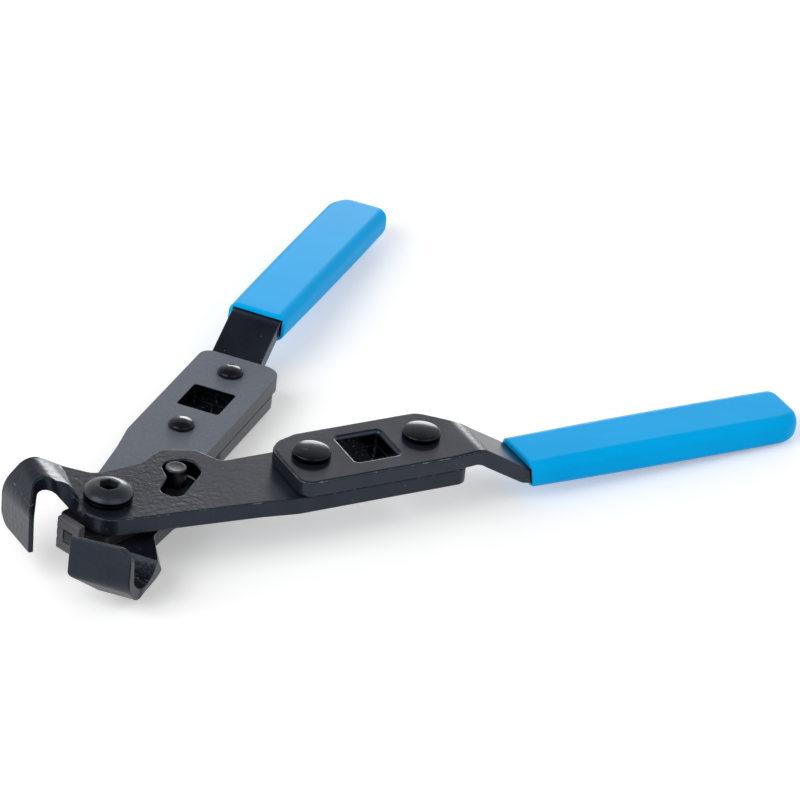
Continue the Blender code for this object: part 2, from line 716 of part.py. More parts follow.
def bush_shape():
    """A round bush with two flats, which run along the sides of the slide's opening."""
    radius = BUSH_DIAMETER / 2
    flat = math.asin(BUSH_FLATS / BUSH_DIAMETER)
    half = SLIDE_THICKNESS / 2
    right = arc((0, 0), radius, -flat, flat, BUSH_STEPS)
    left = arc((0, 0), radius, math.pi - flat, math.pi + flat, BUSH_STEPS)
    return prism(right + left, -half, half)


def slide_outline():
    """The slide in the press frame, where +X runs along the line between the handles."""
    rear = PIN_REACH_OPEN + SLIDE_REAR_RADIUS
    side = SLIDE_WIDTH / 2
    shoulder = -(BLOCK_FACE - BLOCK_THICKNESS - CLEARANCE)
    window_front = BUSH_DIAMETER / 2 + CLEARANCE
    body_rear = window_front + PRESS_TRAVEL + SLIDE_CORNER
    block_half = BLOCK_WIDTH / 2
    tenon_half = TENON_WIDTH / 2
    neck = -(window_front + SLIDE_CORNER / 2)
    upper = [
        (rear, SLIDE_REAR_RADIUS, SLIDE_REAR_RADIUS),
        (body_rear, side, SLIDE_CORNER),
        (neck, side, SLIDE_CORNER / 2),
        (shoulder, block_half, SLIDE_CORNER / 8),
        (shoulder, tenon_half, 0),
        (-BLOCK_FACE, tenon_half, 0),
    ]
    lower = [(x, -y, corner) for x, y, corner in upper[::-1]]
    return rounded_outline(upper + lower)


def make_press(frame):
    half = SLIDE_THICKNESS / 2
    slide = make_object("press_slide", prism(slide_outline(), -half, half), BRIGHT_STEEL, frame)
    reach = BUSH_DIAMETER / 2 + CLEARANCE
    side = BUSH_FLATS / 2 + CLEARANCE
    corner = SLIDE_CORNER / 4
    window = rounded_outline([(-reach, -side, corner), (reach + PRESS_TRAVEL, -side, corner),
                              (reach + PRESS_TRAVEL, side, corner), (-reach, side, corner)])
    boolean(slide, make_cutter("cutter_window", prism(window, -OVERRUN, OVERRUN), frame))
    pin_hole = round_cutter("cutter_pin", PIN_DIAMETER / 2 + CLEARANCE, -OVERRUN, OVERRUN, frame)
    pin_hole.location = (PIN_REACH_OPEN, 0, 0)
    boolean(slide, pin_hole)

    radius = PIN_DIAMETER / 2
    pin = make_object("cam_pin", turned([
        (0, -PLATE_TOP),
        (radius - PIN_CHAMFER, -PLATE_TOP),
        (radius, -PLATE_TOP + PIN_CHAMFER),
        (radius, PLATE_TOP - PIN_CHAMFER),
        (radius - PIN_CHAMFER, PLATE_TOP),
        (0, PLATE_TOP),
    ]), BRIGHT_STEEL, frame)
    pin.location = (PIN_REACH_OPEN, 0, 0)

    width = BLOCK_WIDTH / 2
    face = rounded_outline([(-BLOCK_FACE, -width, 0), (-BLOCK_FACE + BLOCK_THICKNESS, -width, 0),
                            (-BLOCK_FACE + BLOCK_THICKNESS, width, 0), (-BLOCK_FACE, width, 0)])
    block = make_object("press_block", prism(face, -BLOCK_HEIGHT / 2, BLOCK_HEIGHT / 2), GREY_STEEL, frame)
    break_edges(block, EDGE_BREAK, 1)
    tenon_half = TENON_WIDTH / 2 + CLEARANCE
    hole = rounded_outline([(-BLOCK_FACE - OVERRUN, -tenon_half, 0), (OVERRUN - BLOCK_FACE, -tenon_half, 0),
                            (OVERRUN - BLOCK_FACE, tenon_half, 0), (-BLOCK_FACE - OVERRUN, tenon_half, 0)])
    boolean(block, make_cutter("cutter_tenon", prism(hole, -half - CLEARANCE, half + CLEARANCE), frame))


def places_of(item, graph):
    solid = item.evaluated_get(graph)
    return [item.matrix_world @ vert.co for vert in solid.data.vertices]


def lay_down(tool):
    """Tilts the tool so that it lies on the screw's end, the lower half's rear rivet and the upper
    grip, then puts the middle of its box above the origin."""
    bpy.context.view_layer.update()
    graph = bpy.context.evaluated_depsgraph_get()
    feet = [places_of(bpy.data.objects[name], graph) for name in RESTING_PIECES]
    up = Vector((0, 0, 1))
    for _ in range(RESTING_STEPS):
        screw, rivet, grip = [min(places, key=up.dot) for places in feet]
        up = (grip - screw).cross(rivet - screw).normalized()
    tool.matrix_local = up.rotation_difference(Vector((0, 0, 1))).to_matrix().to_4x4()
    bpy.context.view_layer.update()
    graph = bpy.context.evaluated_depsgraph_get()
    places = []
    for item in bpy.data.objects:
        if item.type == "MESH" and not item.hide_render:
            places += places_of(item, graph)
    middle = [(min(p[axis] for p in places) + max(p[axis] for p in places)) / 2 for axis in (0, 1)]
    tool.location = (-middle[0], -middle[1], -min(p.z for p in places))


def build():
    clear_scene()
    tool = empty("tool")
    middle_line = Vector((math.cos(OPEN_HALF_ANGLE), math.sin(OPEN_HALF_ANGLE), 0))
    turned_over = Matrix.Rotation(math.pi, 4, middle_line)
    upper = empty("upper_half", tool)
    lower = empty("lower_half", tool, turned_over)
    guide = empty("press_guide", tool, Matrix.Rotation(OPEN_HALF_ANGLE, 4, "Z"))
    make_half("upper", upper, 0, 0)
    make_half("lower", lower, LOWER_HANDLE_TILT, LOWER_HANDLE_SWING)
    make_pivot(upper, guide)
    make_press(guide)
    lay_down(tool)
    bpy.context.view_layer.update()


build()
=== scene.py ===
import json
import math

import bmesh
import bpy
from mathutils import Matrix, Vector


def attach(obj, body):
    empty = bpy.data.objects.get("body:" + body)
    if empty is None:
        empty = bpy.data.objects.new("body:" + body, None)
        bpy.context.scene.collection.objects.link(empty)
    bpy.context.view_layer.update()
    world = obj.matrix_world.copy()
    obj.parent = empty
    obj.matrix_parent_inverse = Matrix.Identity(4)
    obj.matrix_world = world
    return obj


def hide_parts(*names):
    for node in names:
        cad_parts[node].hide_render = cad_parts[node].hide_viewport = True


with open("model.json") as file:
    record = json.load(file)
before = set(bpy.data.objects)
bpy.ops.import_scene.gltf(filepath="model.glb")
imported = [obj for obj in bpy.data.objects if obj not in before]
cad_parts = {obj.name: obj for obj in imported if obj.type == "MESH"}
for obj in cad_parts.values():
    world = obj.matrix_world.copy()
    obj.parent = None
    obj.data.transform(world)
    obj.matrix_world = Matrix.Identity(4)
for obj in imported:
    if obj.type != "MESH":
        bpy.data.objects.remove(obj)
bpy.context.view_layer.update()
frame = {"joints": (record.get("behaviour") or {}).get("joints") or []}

# Shapes are drawn in millimetres about the pivot's axis, Z. In a half's frame X runs along its
# handle and Y points to the other handle. In the press's frame X runs along the middle line.
MM = 0.001
CLEARANCE = 0.3
HALF_ANGLE = math.radians(20.39)
CLOSED_ANGLE = math.radians(0.39)

# Plates, hooks, bars and necks
HALF_GAP = 2.05
PLATE_TOP = 7.05
PLATE_NEAR = -17.1
PLATE_FAR = 8.5
PLATE_REAR = 104.8
HOOK_NEAR_Y = 0.4
HOOK_FAR_Y = 19.9
BAR_FRONT = 51.2
BAR_THICKNESS = 4.7
BAR_BOTTOM = PLATE_TOP + CLEARANCE
BAR_TOP = BAR_BOTTOM + BAR_THICKNESS
NECK_NEAR = -16.8
NECK_FAR = -1.0
TANG_END = 204.0
CRANK_START = 106.3
CRANK_LENGTH = 20.2
CRANK_BEND = 0.2
LOWER_TILT = math.tan(math.radians(3.7))
LOWER_SWING = math.tan(math.radians(1.6))

# Square holes and rivets
DRIVE_LINE = -4.3
DRIVE_X = 77.9
DRIVE_HALF = 6.6
DRIVE_CORNER = 0.9
RIVETS = (("front", 60.1), ("rear", 94.9))
RIVET_RADIUS = 3.0

# Pivot: screw, washers, nut and bush
SHANK_RADIUS = 4.0
BORE_RADIUS = SHANK_RADIUS + CLEARANCE
TOP_WASHER = 1.0
BOTTOM_WASHER = 1.3
HEAD_BOTTOM = PLATE_TOP + CLEARANCE + TOP_WASHER + CLEARANCE
HEAD_HEIGHT = 3.0
HEAD_RADIUS = 7.0
NUT_TOP = -(PLATE_TOP + CLEARANCE + BOTTOM_WASHER + CLEARANCE)
NUT_BOTTOM = NUT_TOP - 5.5
NUT_FLATS = 13.0
BUSH_RADIUS = 6.5
BUSH_FLATS = 11.0
RIM_ROUND = 0.35

# Press: slide, block and pin
PIN_REACH = 26.7
TRAVEL = 5.6
PIN_RADIUS = 3.0
SLIDE_HALF = 1.75
BLOCK_FACE = -15.0
BLOCK_HALF = 4.2
TENON_HALF = 1.5

# Camera, fitted to the photograph; its place is in the upper half's frame
CAMERA_PLACE = Vector((-473.94, -955.56, 668.22))
CAMERA_AZIMUTH = math.radians(59.486)
CAMERA_ELEVATION = math.radians(30.207)
CAMERA_ROLL = math.radians(6.594)
FOCAL_PIXELS = 4541.93
PHOTO_PIXELS = 800
SENSOR = 36.0

# Colours
BLACK_LOW = (0.0052, 0.0066, 0.0105, 1.0)
BLACK_HIGH = (0.0115, 0.0145, 0.0225, 1.0)
BLACK_TINT = (0.70, 0.81, 1.0, 1.0)
BARE = (0.21, 0.22, 0.25, 1.0)
SPECK = (0.20, 0.22, 0.25, 1.0)
# SHADE and DEEP_SHADE are painted shade: near blacks for walls, sides and gaps that lie in shade
SHADE = (0.004, 0.0045, 0.006, 1.0)
DEEP_SHADE = (0.002, 0.002, 0.003, 1.0)


def polar(radius, angle):
    return Vector((radius * math.cos(angle), radius * math.sin(angle)))


def tool_frame():
    """The upper half's frame, in metres, worked out from the joints' axes."""
    joints = {joint["name"]: joint for joint in frame["joints"]}
    up = -Vector(joints["handle_hinge"]["axis"]).normalized()
    bisector = -Vector(joints["press_travel"]["axis"]).normalized()
    along = Matrix.Rotation(-HALF_ANGLE, 3, up) @ bisector
    across = up.cross(along)
    turn = Matrix((along, across, up)).transposed().to_4x4()
    return Matrix.Translation(joints["handle_hinge"]["pos_m"]) @ turn


PIN = polar(PIN_REACH, HALF_ANGLE)
PIN_CLOSED = polar(PIN_REACH - TRAVEL, CLOSED_ANGLE)
UPPER = tool_frame()
LOWER = UPPER @ Matrix.Rotation(math.pi, 4, polar(1.0, HALF_ANGLE).to_3d())
PRESS = UPPER @ Matrix.Rotation(HALF_ANGLE, 4, "Z")


def add_camera():
    """A camera at the photograph's angle."""
    azimuth, elevation, roll = CAMERA_AZIMUTH, CAMERA_ELEVATION, CAMERA_ROLL
    ahead = Vector((math.cos(azimuth) * math.cos(elevation),
                    math.sin(azimuth) * math.cos(elevation), -math.sin(elevation)))
    level = Vector((math.sin(azimuth), -math.cos(azimuth), 0))
    upright = level.cross(ahead)
    right = math.cos(roll) * level + math.sin(roll) * upright
    up = -math.sin(roll) * level + math.cos(roll) * upright
    turn = Matrix((right, up, -ahead)).transposed().to_4x4()
    lens = bpy.data.cameras.new("photo_camera")
    lens.sensor_width = SENSOR
    lens.lens = FOCAL_PIXELS / PHOTO_PIXELS * SENSOR
    lens.clip_start = 0.05
    lens.clip_end = 50.0
    camera = bpy.data.objects.new("photo_camera", lens)
    bpy.context.scene.collection.objects.link(camera)
    camera.matrix_world = UPPER @ Matrix.Translation(CAMERA_PLACE * MM) @ turn
    bpy.context.scene.camera = camera


# Nodes

def add_node(tree, kind, inputs=(), **settings):
    """A shader node; each input is given as a name or number and a value or an output socket."""
    node = tree.nodes.new(kind)
    for name, value in settings.items():
        setattr(node, name, value)
    for name, value in inputs:
        if isinstance(value, bpy.types.NodeSocket):
            tree.links.new(value, node.inputs[name])
        else:
            node.inputs[name].default_value = value
    return node


def new_material(name, **values):
    """A material whose shader has the given values, with _ for each space in an input's name."""
    result = bpy.data.materials.new(name)
    result.use_nodes = True
    shader = result.node_tree.nodes["Principled BSDF"]
    for key, value in values.items():
        shader.inputs[key.replace("_", " ")].default_value = value
    return result


def wire(result, **outputs):
    """Links outputs to the inputs of a material's shader, named as in new_material."""
    tree = result.node_tree
    for key, output in outputs.items():
        tree.links.new(output, tree.nodes["Principled BSDF"].inputs[key.replace("_", " ")])
    return result


def noise(tree, place, scale, detail, roughness, distortion=0.0):
    return add_node(tree, "ShaderNodeTexNoise", [
        ("Vector", place), ("Scale", scale), ("Detail", detail), ("Roughness", roughness),
        ("Distortion", distortion)]).outputs["Fac"]


def ramp(tree, value, stops):
    """A colour ramp over stops of place and grey level or colour."""
    node = add_node(tree, "ShaderNodeValToRGB", [("Fac", value)])
    elements = node.color_ramp.elements
    while len(elements) < len(stops):
        elements.new(0.5)
    for element, (place, colour) in zip(elements, stops):
        element.position = place
        element.color = colour if isinstance(colour, tuple) else (colour, colour, colour, 1.0)
    return node.outputs["Color"]


def clouded(tree, cloud, dark, light):
    """A colour that drifts between two with a noise."""
    return ramp(tree, cloud, [(0.30, dark), (0.70, light)])


def mix(tree, factor, first, second):
    node = add_node(tree, "ShaderNodeMix", [(0, factor), (6, first), (7, second)], data_type="RGBA")
    return node.outputs[2]


def map_range(tree, value, from_low, from_high, to_low, to_high):
    return add_node(tree, "ShaderNodeMapRange", [
        ("Value", value), ("From Min", from_low), ("From Max", from_high), ("To Min", to_low),
        ("To Max", to_high)]).outputs["Result"]


def blend_value(tree, factor, low, high):
    """Low where the factor is 0 and high where it is 1."""
    return map_range(tree, factor, 0.0, 1.0, low, high)


def math_node(tree, operation, first, second, clamp=False):
    node = add_node(tree, "ShaderNodeMath", [(0, first), (1, second)], operation=operation)
    node.use_clamp = clamp
    return node.outputs[0]


def bump(tree, height, distance, strength, normal=None):
    inputs = [("Height", height), ("Distance", distance), ("Strength", strength)]
    if normal is not None:
        inputs.append(("Normal", normal))
    return add_node(tree, "ShaderNodeBump", inputs).outputs["Normal"]


def own_place(tree, frame_of, stretch=(1.0, 1.0, 1.0), shift=(0.0, 0.0, 0.0)):
    """The place on a piece in the frame of its half or of the press, in metres, stretched and then
    shifted."""
    move, turn, _ = frame_of.inverted().decompose()
    place = add_node(tree, "ShaderNodeMapping", [
        ("Vector", add_node(tree, "ShaderNodeTexCoord").outputs["Object"]),
        ("Location", move), ("Rotation", turn.to_euler())]).outputs["Vector"]
    return add_node(tree, "ShaderNodeMapping", [
        ("Vector", place), ("Scale", stretch), ("Location", shift)]).outputs["Vector"]


def separate(tree, place):
    return add_node(tree, "ShaderNodeSeparateXYZ", [("Vector", place)]).outputs


# Parts of a surface, told apart by its own place

def band(tree, value, low, high, soft=0.0001):
    """1 where the value lies between two limits, with a soft change at each, in metres."""
    above = map_range(tree, value, low - soft, low, 0.0, 1.0)
    below = map_range(tree, value, high, high + soft, 1.0, 0.0)
    return math_node(tree, "MULTIPLY", above, below)


def inside(tree, own, *limits):
    """1 inside a box; each limit is an axis, a lowest and a highest place, in millimetres."""
    result = 1.0
    for axis, low, high in limits:
        result = math_node(tree, "MULTIPLY", band(tree, own[axis], low * MM, high * MM), result)
    return result


def around_drive(reach):
    return ("X", DRIVE_X - reach, DRIVE_X + reach), ("Y", DRIVE_LINE - reach, DRIVE_LINE + reach)


def drive_walls(tree, own, low, high):
    return inside(tree, own, *around_drive(DRIVE_HALF + 0.12), ("Z", low, high))


def worn_edge(tree, place, own, height, spared):
    """Broken bare lines along the rounded edge just below a face, except where spared is 1."""
    line = inside(tree, own, ("Z", height - 0.26, height - 0.16))
    broken = ramp(tree, noise(tree, place, 420.0, 4.0, 0.7), [(0.53, 0.0), (0.68, 0.8)])
    line = math_node(tree, "MULTIPLY", line, broken)
    return math_node(tree, "MULTIPLY", line, math_node(tree, "SUBTRACT", 1.0, spared, clamp=True))


# Materials

def dust(tree, place, scale, colour, amount):
    """The colour with small pale specks."""
    specks = add_node(tree, "ShaderNodeTexVoronoi", [("Vector", place), ("Scale", scale)])
    found = ramp(tree, specks.outputs["Distance"], [(0.030, 1.0), (0.055, 0.0)])
    return mix(tree, blend_value(tree, found, 0.0, amount), colour, SPECK)


def scratched_painted_shade(tree, place):
    """Painted shade with broken pale scratches: nearly black, for the walls of the square holes."""
    return ramp(tree, noise(tree, place, 900.0, 4.0, 0.7), [
        (0.52, SHADE), (0.64, (0.020, 0.022, 0.027, 1.0)), (0.74, (0.20, 0.21, 0.24, 1.0))])


def painted_plate(frame_of, shift):
    """Satin blue-black paint with an orange peel, pale specks and wear along the outer edge. The slot's
    walls are painted shade, nearly black metal that reflects almost nothing; the square hole's walls are
    painted shade with scratches; the inner face is a matt grey."""
    result = new_material("plate_paint", IOR=1.40, Specular_Tint=BLACK_TINT)
    tree = result.node_tree
    place = own_place(tree, frame_of, shift=shift)
    own = separate(tree, own_place(tree, frame_of))
    slot_start, slot_end, beyond_plate = 12.0, 33.0, 1000.0
    slot_area = (("X", slot_start, slot_end), ("Y", -5.0, 14.0))
    inner_face = inside(tree, own, ("Z", HALF_GAP - 0.2, HALF_GAP + 0.15), ("X", slot_start, beyond_plate))
    in_slot = inside(tree, own, ("Z", HALF_GAP + 0.3, PLATE_TOP - 0.5), *slot_area)
    around_slot = inside(tree, own, *slot_area)
    walls = drive_walls(tree, own, HALF_GAP + 0.3, PLATE_TOP)
    near_pivot = band(tree, own["X"], -60.0 * MM, 22.0 * MM, 12.0 * MM)

    colour = clouded(tree, noise(tree, place, 60.0, 3.0, 0.55), BLACK_LOW, BLACK_HIGH)
    colour = dust(tree, place, 260.0, colour, 0.5)
    colour = mix(tree, worn_edge(tree, place, own, PLATE_TOP, around_slot), colour, BARE)
    # Painted shade: the slot's walls and the square hole's walls turn nearly black, and Metallic makes them
    # reflect almost nothing
    colour = mix(tree, in_slot, colour, DEEP_SHADE)
    colour = mix(tree, walls, colour, scratched_painted_shade(tree, place))
    fine = noise(tree, place, 2600.0, 2.0, 0.6)
    grain = clouded(tree, fine, (0.085, 0.097, 0.120, 1.0), (0.125, 0.141, 0.170, 1.0))
    satin = blend_value(tree, noise(tree, place, 16.0, 2.0, 0.5), 0.20, 0.36)
    matt = 0.62
    rough = add_node(tree, "ShaderNodeMix", [(0, inner_face), (2, satin), (3, matt)]).outputs[0]

    peel = noise(tree, place, 620.0, 2.0, 0.5)
    sheared = noise(tree, own_place(tree, frame_of, (1.0, 1.0, 0.03), shift), 1500.0, 2.0, 0.5)
    normal = bump(tree, peel, 0.00012, blend_value(tree, near_pivot, 0.35, 1.0))
    normal = bump(tree, fine, 0.00002, 0.35, normal)
    normal = bump(tree, sheared, 0.00005, 0.3, normal)
    return wire(result, Base_Color=mix(tree, inner_face, colour, grain), Roughness=rough,
                Metallic=math_node(tree, "MAXIMUM", walls, in_slot), Normal=normal)


def painted_bar(frame_of, shift):
    """Satin near-black paint, finer than the plate's, with pale specks and wear along the top edge. The
    square hole's walls are painted shade, nearly black metal with scratches."""
    result = new_material("bar_paint", IOR=1.46, Specular_Tint=BLACK_TINT)
    tree = result.node_tree
    place = own_place(tree, frame_of, shift=shift)
    own = separate(tree, own_place(tree, frame_of))
    hole = inside(tree, own, *around_drive(9.0))
    walls = drive_walls(tree, own, BAR_BOTTOM, BAR_TOP - 1.3)
    cloud = noise(tree, place, 75.0, 3.0, 0.55)
    colour = clouded(tree, cloud, BLACK_LOW, BLACK_HIGH)
    colour = dust(tree, place, 310.0, colour, 0.7)
    colour = mix(tree, worn_edge(tree, place, own, BAR_TOP - 0.1, hole), colour, BARE)
    # Painted shade: the square hole's walls turn nearly black, and Metallic makes them reflect almost
    # nothing
    colour = mix(tree, walls, colour, scratched_painted_shade(tree, place))
    peel = noise(tree, place, 900.0, 2.0, 0.45)
    streaks = noise(tree, own_place(tree, frame_of, (1.0, 1.0, 0.04), shift), 1800.0, 2.0, 0.5)
    normal = bump(tree, peel, 0.00005, 0.45)
    normal = bump(tree, streaks, 0.00003, 0.25, normal)
    return wire(result, Base_Color=colour, Metallic=walls,
                Roughness=blend_value(tree, cloud, 0.15, 0.27), Normal=normal)


def worn_black():
    """The pivot's black: duller than the rivets', with fine grey specks. The top washer and the foot of the
    head are painted shade, nearly black metal that reflects almost nothing.
    """
    result = new_material("screw_black", IOR=1.40, Specular_Tint=BLACK_TINT)
    tree = result.node_tree
    place = own_place(tree, UPPER)
    side = inside(tree, separate(tree, place), ("Z", PLATE_TOP, HEAD_BOTTOM + 0.65))
    cloud = noise(tree, place, 190.0, 3.0, 0.6)
    colour = clouded(tree, cloud, (0.012, 0.014, 0.018, 1.0), (0.026, 0.030, 0.037, 1.0))
    colour = dust(tree, place, 420.0, colour, 0.7)
    # Painted shade on the side just above the plate
    return wire(result, Base_Color=mix(tree, side, colour, SHADE), Metallic=side,
                Roughness=blend_value(tree, cloud, 0.20, 0.34), Normal=bump(tree, cloud, 0.00008, 0.5))


def gloss_black():
    """The rivets' glossy black with a few grey spots. On the upper half's heads the lower part is painted
    shade, nearly black metal that reflects almost nothing.
    """
    result = new_material("gloss_black", IOR=1.28, Specular_Tint=BLACK_TINT)
    tree = result.node_tree
    place = own_place(tree, UPPER)
    side = inside(tree, separate(tree, place), ("Z", BAR_TOP, BAR_TOP + 1.5))
    cloud = noise(tree, place, 140.0, 3.0, 0.55)
    colour = clouded(tree, cloud, (0.0035, 0.0040, 0.0055, 1.0), (0.0065, 0.0075, 0.0100, 1.0))
    worn = ramp(tree, noise(tree, place, 420.0, 2.0, 0.6), [(0.66, 0.0), (0.74, 1.0)])
    colour = mix(tree, blend_value(tree, worn, 0.0, 0.35), colour, (0.10, 0.11, 0.12, 1.0))
    peel = noise(tree, place, 1000.0, 2.0, 0.5)
    # Painted shade on the lower part of the upper half's heads
    return wire(result, Base_Color=mix(tree, side, colour, SHADE), Metallic=side,
                Roughness=blend_value(tree, cloud, 0.10, 0.20), Normal=bump(tree, peel, 0.00003, 0.4))


def oiled_steel(name, dark, light, rough, metallic, stretch=(1.0, 1.0, 1.0), shaded=None):
    """Steel with drawn lines and an uneven film of oil. Where shaded is given, what lies less than
    that many millimetres from the middle plane is painted shade, nearly black."""
    result = new_material(name, Metallic=metallic)
    tree = result.node_tree
    place = own_place(tree, PRESS)
    lines = noise(tree, own_place(tree, PRESS, stretch), 900.0, 3.0, 0.6)
    film = noise(tree, place, 160.0, 3.0, 0.6, 0.4)
    oiled = math_node(tree, "MULTIPLY", lines, film)
    colour = ramp(tree, oiled, [(0.12, (*dark, 1.0)), (0.42, (*light, 1.0))])
    # Painted shade between the plates
    if shaded is not None:
        middle = inside(tree, separate(tree, place), ("Z", -shaded, shaded))
        colour = mix(tree, middle, colour, DEEP_SHADE)
    return wire(result, Base_Color=colour, Roughness=blend_value(tree, film, *rough),
                Normal=bump(tree, lines, 0.00003, 0.5))


def blue_vinyl(frame_of, shift):
    """Dipped vinyl: smooth and even, with a soft ripple along the handle and a faint grain."""
    result = new_material("blue_vinyl", IOR=1.12, Specular_Tint=(0.1, 0.6, 1.0, 1.0))
    tree = result.node_tree
    place = own_place(tree, frame_of, shift=shift)
    cloud = noise(tree, place, 35.0, 3.0, 0.5)
    colour = clouded(tree, cloud, (0.0010, 0.380, 0.820, 1.0), (0.0014, 0.420, 0.880, 1.0))
    ripple = noise(tree, own_place(tree, frame_of, (0.25, 1.0, 1.0), shift), 130.0, 2.0, 0.4)
    grain = noise(tree, place, 2600.0, 2.0, 0.5)
    normal = bump(tree, ripple, 0.00025, 0.30)
    normal = bump(tree, grain, 0.000015, 0.35, normal)
    return wire(result, Base_Color=colour, Roughness=blend_value(tree, cloud, 0.30, 0.42), Normal=normal)


# Outlines, in millimetres

def rounded_outline(corners):
    """A closed outline whose corners, each given as x, y and radius, are rounded by arcs."""
    step_angle = 4.0
    points = []
    for index, (x, y, radius) in enumerate(corners):
        corner = Vector((x, y))
        back = Vector(corners[index - 1][:2]) - corner
        ahead = Vector(corners[(index + 1) % len(corners)][:2]) - corner
        if radius == 0:
            points.append(corner)
            continue
        half = back.angle(ahead) / 2
        reach = min(radius / math.tan(half), 0.48 * back.length, 0.48 * ahead.length)
        radius = reach * math.tan(half)
        centre = corner + (back.normalized() + ahead.normalized()).normalized() * (radius / math.sin(half))
        start = corner + back.normalized() * reach - centre
        turn = math.copysign(math.pi - 2 * half, back.cross(ahead) * -1)
        steps = max(2, math.ceil(abs(math.degrees(turn)) / step_angle))
        for step in range(steps + 1):
            points.append(centre + Matrix.Rotation(turn * step / steps, 2) @ start)
    return points


def arc(centre, radius, first, last, steps):
    """Points of an arc between two angles in radians, both ends included."""
    result = []
    for step in range(steps + 1):
        angle = first + (last - first) * step / steps
        result.append(Vector((centre[0] + radius * math.cos(angle), centre[1] + radius * math.sin(angle))))
    return result


def grown(points, distance):
    """The outline moved outwards by a distance."""
    area = sum(a.cross(b) for a, b in zip(points, points[1:] + points[:1]))
    side = math.copysign(1.0, area)
    result = []
    for index, point in enumerate(points):
        before = (point - points[index - 1]).normalized()
        after = (points[(index + 1) % len(points)] - point).normalized()
        out = Vector((before.y + after.y, -before.x - after.x)) * side
        out.normalize()
        square = Vector((before.y, -before.x)) * side
        result.append(point + out * (distance / max(0.5, out.dot(square))))
    return result


def box_outline(x0, y0, x1, y1, radius):
    return rounded_outline([(x0, y0, radius), (x1, y0, radius), (x1, y1, radius), (x0, y1, radius)])


def drive_square():
    return box_outline(DRIVE_X - DRIVE_HALF, DRIVE_LINE - DRIVE_HALF,
                       DRIVE_X + DRIVE_HALF, DRIVE_LINE + DRIVE_HALF, DRIVE_CORNER)


def slot_outline():
    """The cam slot: a slanted run that ends past the closed pin, a wider pocket around the open one,
    and a notch between them."""
    along = polar(1.0, math.radians(43.0))
    across = Vector((-along.y, along.x))
    half = 3.3
    past_pin = 2.4
    end = PIN_CLOSED - along * (past_pin + half)
    near_end = end - across * half
    far_end = end + across * half
    left = PIN.x - PIN_RADIUS - 0.4
    top = PIN.y + PIN_RADIUS + 0.2
    right = PIN.x + 5.9
    wall = near_end + along * ((right - near_end.x) / along.x)
    return rounded_outline([
        (left, top, PIN_RADIUS + 0.2),
        (PIN.x - 4.53, PIN.y - 4.05, 1.1),
        (far_end.x, far_end.y, half),
        (near_end.x, near_end.y, half),
        (wall.x, wall.y, 4.0),
        (right, top, 4.0),
    ])


def plate_corners():
    """The flat plate's outline; the hook joins its last corner to its first."""
    lobe = [(PIN.x + along, PIN.y + across, corner) for along, across, corner in
            ((9.3, 6.7, 5.0), (-0.5, 10.2, 6.0), (-8.4, 5.0, 10.0), (-23.2, 4.1, 5.0))]
    return [
        (-8.2, HOOK_NEAR_Y, 0),
        (-9.6, -4.6, 8.0),
        (-4.5, -11.2, 8.0),
        (40.0, -15.4, 8.0),
        (51.0, PLATE_NEAR, 8.0),
        (PLATE_REAR, PLATE_NEAR, 3.6),
        (PLATE_REAR, PLATE_FAR, 5.5),
        (PIN.x + 13.5, PLATE_FAR, 3.5),
        *lobe,
        (-5.2, HOOK_FAR_Y, 0),
    ]


# Solids, in millimetres

def to_object(name, shape):
    bmesh.ops.recalc_face_normals(shape, faces=shape.faces)
    mesh = bpy.data.meshes.new(name)
    shape.to_mesh(mesh)
    shape.free()
    thing = bpy.data.objects.new(name, mesh)
    bpy.context.scene.collection.objects.link(thing)
    return thing


def apply_modifiers(thing):
    bpy.context.view_layer.update()
    graph = bpy.context.evaluated_depsgraph_get()
    mesh = bpy.data.meshes.new_from_object(thing.evaluated_get(graph))
    old = thing.data
    thing.modifiers.clear()
    thing.data = mesh
    bpy.data.meshes.remove(old)


def bevel_by_weight(thing, width):
    step = thing.modifiers.new("round_edges", "BEVEL")
    step.width = width
    step.segments = 4
    step.limit_method = "WEIGHT"
    step.use_clamp_overlap = False
    apply_modifiers(thing)


def bevel_by_angle(thing, width, angle=50.0):
    step = thing.modifiers.new("round_edges", "BEVEL")
    step.width = width
    step.segments = 2
    step.limit_method = "ANGLE"
    step.angle_limit = math.radians(angle)
    apply_modifiers(thing)


def cut(thing, cutters, operation="DIFFERENCE"):
    """Cuts the cutters off the solid, or keeps what it shares with them, and removes them."""
    for cutter in cutters:
        step = thing.modifiers.new("cut", "BOOLEAN")
        step.operation = operation
        step.solver = "EXACT"
        step.object = cutter
    apply_modifiers(thing)
    for cutter in cutters:
        bpy.data.objects.remove(cutter)


def skin(shape, rings):
    """Faces from ring to ring, each with the same number of points, and one at both ends."""
    count = len(rings[0])
    for lower, upper in zip(rings, rings[1:]):
        for step in range(count):
            after = (step + 1) % count
            shape.faces.new((lower[step], lower[after], upper[after], upper[step]))
    shape.faces.new(rings[0][::-1])
    shape.faces.new(rings[-1])
    return shape


def stacked(layers):
    """A solid between outlines with the same number of points, each at its height."""
    shape = bmesh.new()
    return skin(shape, [[shape.verts.new((x, y, height)) for x, y in outline] for outline, height in layers])


def prism(points, bottom, top):
    return stacked([(points, bottom), (points, top)])


def weigh_edges(shape, weight_of):
    """Bevel weights from a function of each edge, before the shape is turned into an object."""
    layer = shape.edges.layers.float.new("bevel_weight_edge")
    for edge in shape.edges:
        edge[layer] = weight_of(edge)


